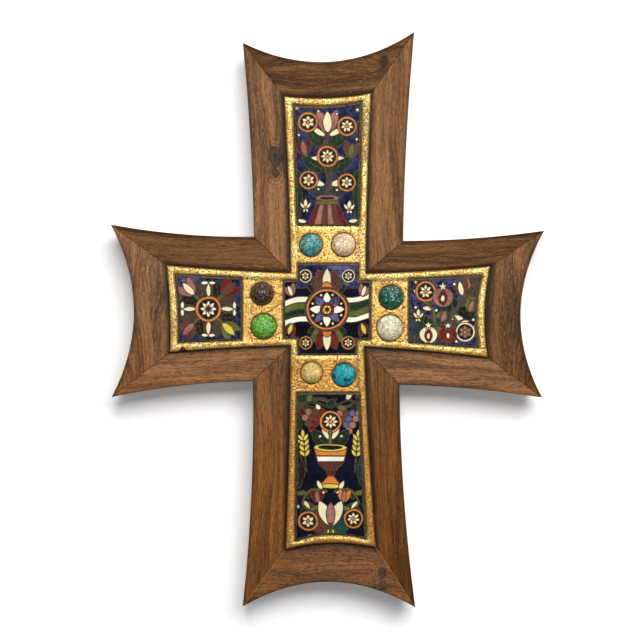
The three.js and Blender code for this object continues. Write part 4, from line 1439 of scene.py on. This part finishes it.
def add_backdrop():
    """The sheet that the cross hangs against. It is open behind the boards, so that light from behind
    reaches them when they are looked at."""
    opening = grown(wood_loop(), -OPENING_INSET)
    sheet = [Vector(p) / MM for p in ((-REACH, FLOOR), (REACH, FLOOR), (REACH, REACH), (-REACH, REACH))]
    points, faces = triangles([sheet, opening])
    faces = faces[~inside(points[faces].mean(axis=1), opening)].tolist()
    mesh = bpy.data.meshes.new("backdrop")
    mesh.from_pydata([at(Vector(p), -WALL / MM) for p in points], [], faces)
    if mesh.polygons[0].normal.y > 0:
        mesh.flip_normals()
    stage_mesh(mesh, paper("pale backdrop", 1.0, 1.04, 0.13))


def paper(name, bounce, gain, glow):
    """Pale matt paper, seen from its front only. It throws back a share of its light on other things,
    and the picture shows it brighter by a gain and a glow, as an over-exposed studio sheet looks."""
    s = Shader(name)
    tooth = s.noise(s.place(), 0.2, 2)
    colour = s.ramp(tooth, [(0.3, PAPER_DARK), (0.7, PAPER_LIGHT)])
    dim = s.node("BsdfDiffuse", {"Color": s.mix(1 - bounce, colour, (0, 0, 0, 1))})
    bright = s.node("BsdfDiffuse", {"Color": s.scaled(colour, gain)})
    seen = s.node("AddShader", {0: bright, 1: s.node("Emission", {"Strength": glow})})
    surface = s.node("MixShader", {0: s.node("LightPath"), 1: dim, 2: seen})
    clear = s.node("BsdfTransparent")
    shown = s.node("MixShader", {0: s.node("NewGeometry", output=6), 1: surface, 2: clear})
    s.tree.links.new(shown, s.out.inputs[0])
    return s.material


def lamp(name, place, width, height, power, tint=(1, 1, 1)):
    """A soft oblong light that faces the object."""
    light = bpy.data.lights.new(name, "AREA")
    light.shape = "RECTANGLE"
    light.size, light.size_y = width, height
    light.energy = power
    light.color = tint
    made = link(name, light)
    made.location = place
    made.rotation_euler = Vector(place).to_track_quat("Z", "Y").to_euler()


def studio_world():
    """A dim grey room that the camera sees as a pale background."""
    world = bpy.data.worlds.new("studio")
    world.use_nodes = True
    tree = world.node_tree
    seen = tree.nodes.new("ShaderNodeLightPath")
    strength = tree.nodes.new("ShaderNodeMapRange")
    strength.inputs["To Min"].default_value = ROOM_LIGHT
    strength.inputs["To Max"].default_value = ROOM_SEEN
    tree.links.new(seen.outputs["Is Camera Ray"], strength.inputs["Value"])
    tree.nodes["Background"].inputs[0].default_value = (1, 1, 1, 1)
    tree.links.new(strength.outputs[0], tree.nodes["Background"].inputs[1])
    bpy.context.scene.world = world


def add_stage():
    """Backdrop against the cross's back, pale floor, soft lights and the camera."""
    add_backdrop()
    ground = bpy.data.meshes.new("floor")
    corners = ((-REACH, -REACH), (REACH, -REACH), (REACH, REACH), (-REACH, REACH))
    ground.from_pydata([(x, y, FLOOR) for x, y in corners], [], [(0, 1, 2, 3)])
    stage_mesh(ground, paper("pale floor", 0.15, 1.0, 0.4))
    lamp("key", (0.36, -1.4, 0.86), 1.5, 1.05, 42, (1.0, 0.985, 0.965))
    lamp("behind", (0.9, 1.5, 0.9), 1.2, 1.2, 40)
    studio_world()
    bpy.context.scene.view_settings.view_transform = "Standard"
    camera = bpy.data.cameras.new("camera")
    camera.lens = CAMERA_LENS
    camera.sensor_width = CAMERA_SENSOR
    made = link("camera", camera)
    made.location = CAMERA_PLACE
    made.rotation_euler = (math.pi / 2, 0, 0)
    bpy.context.scene.camera = made


add_mouldings()
add_gilding()
for stone_node in CABOCHON_NAMES:
    add_cabochon(stone_node)
add_plaques()
add_hardware()
add_stage()
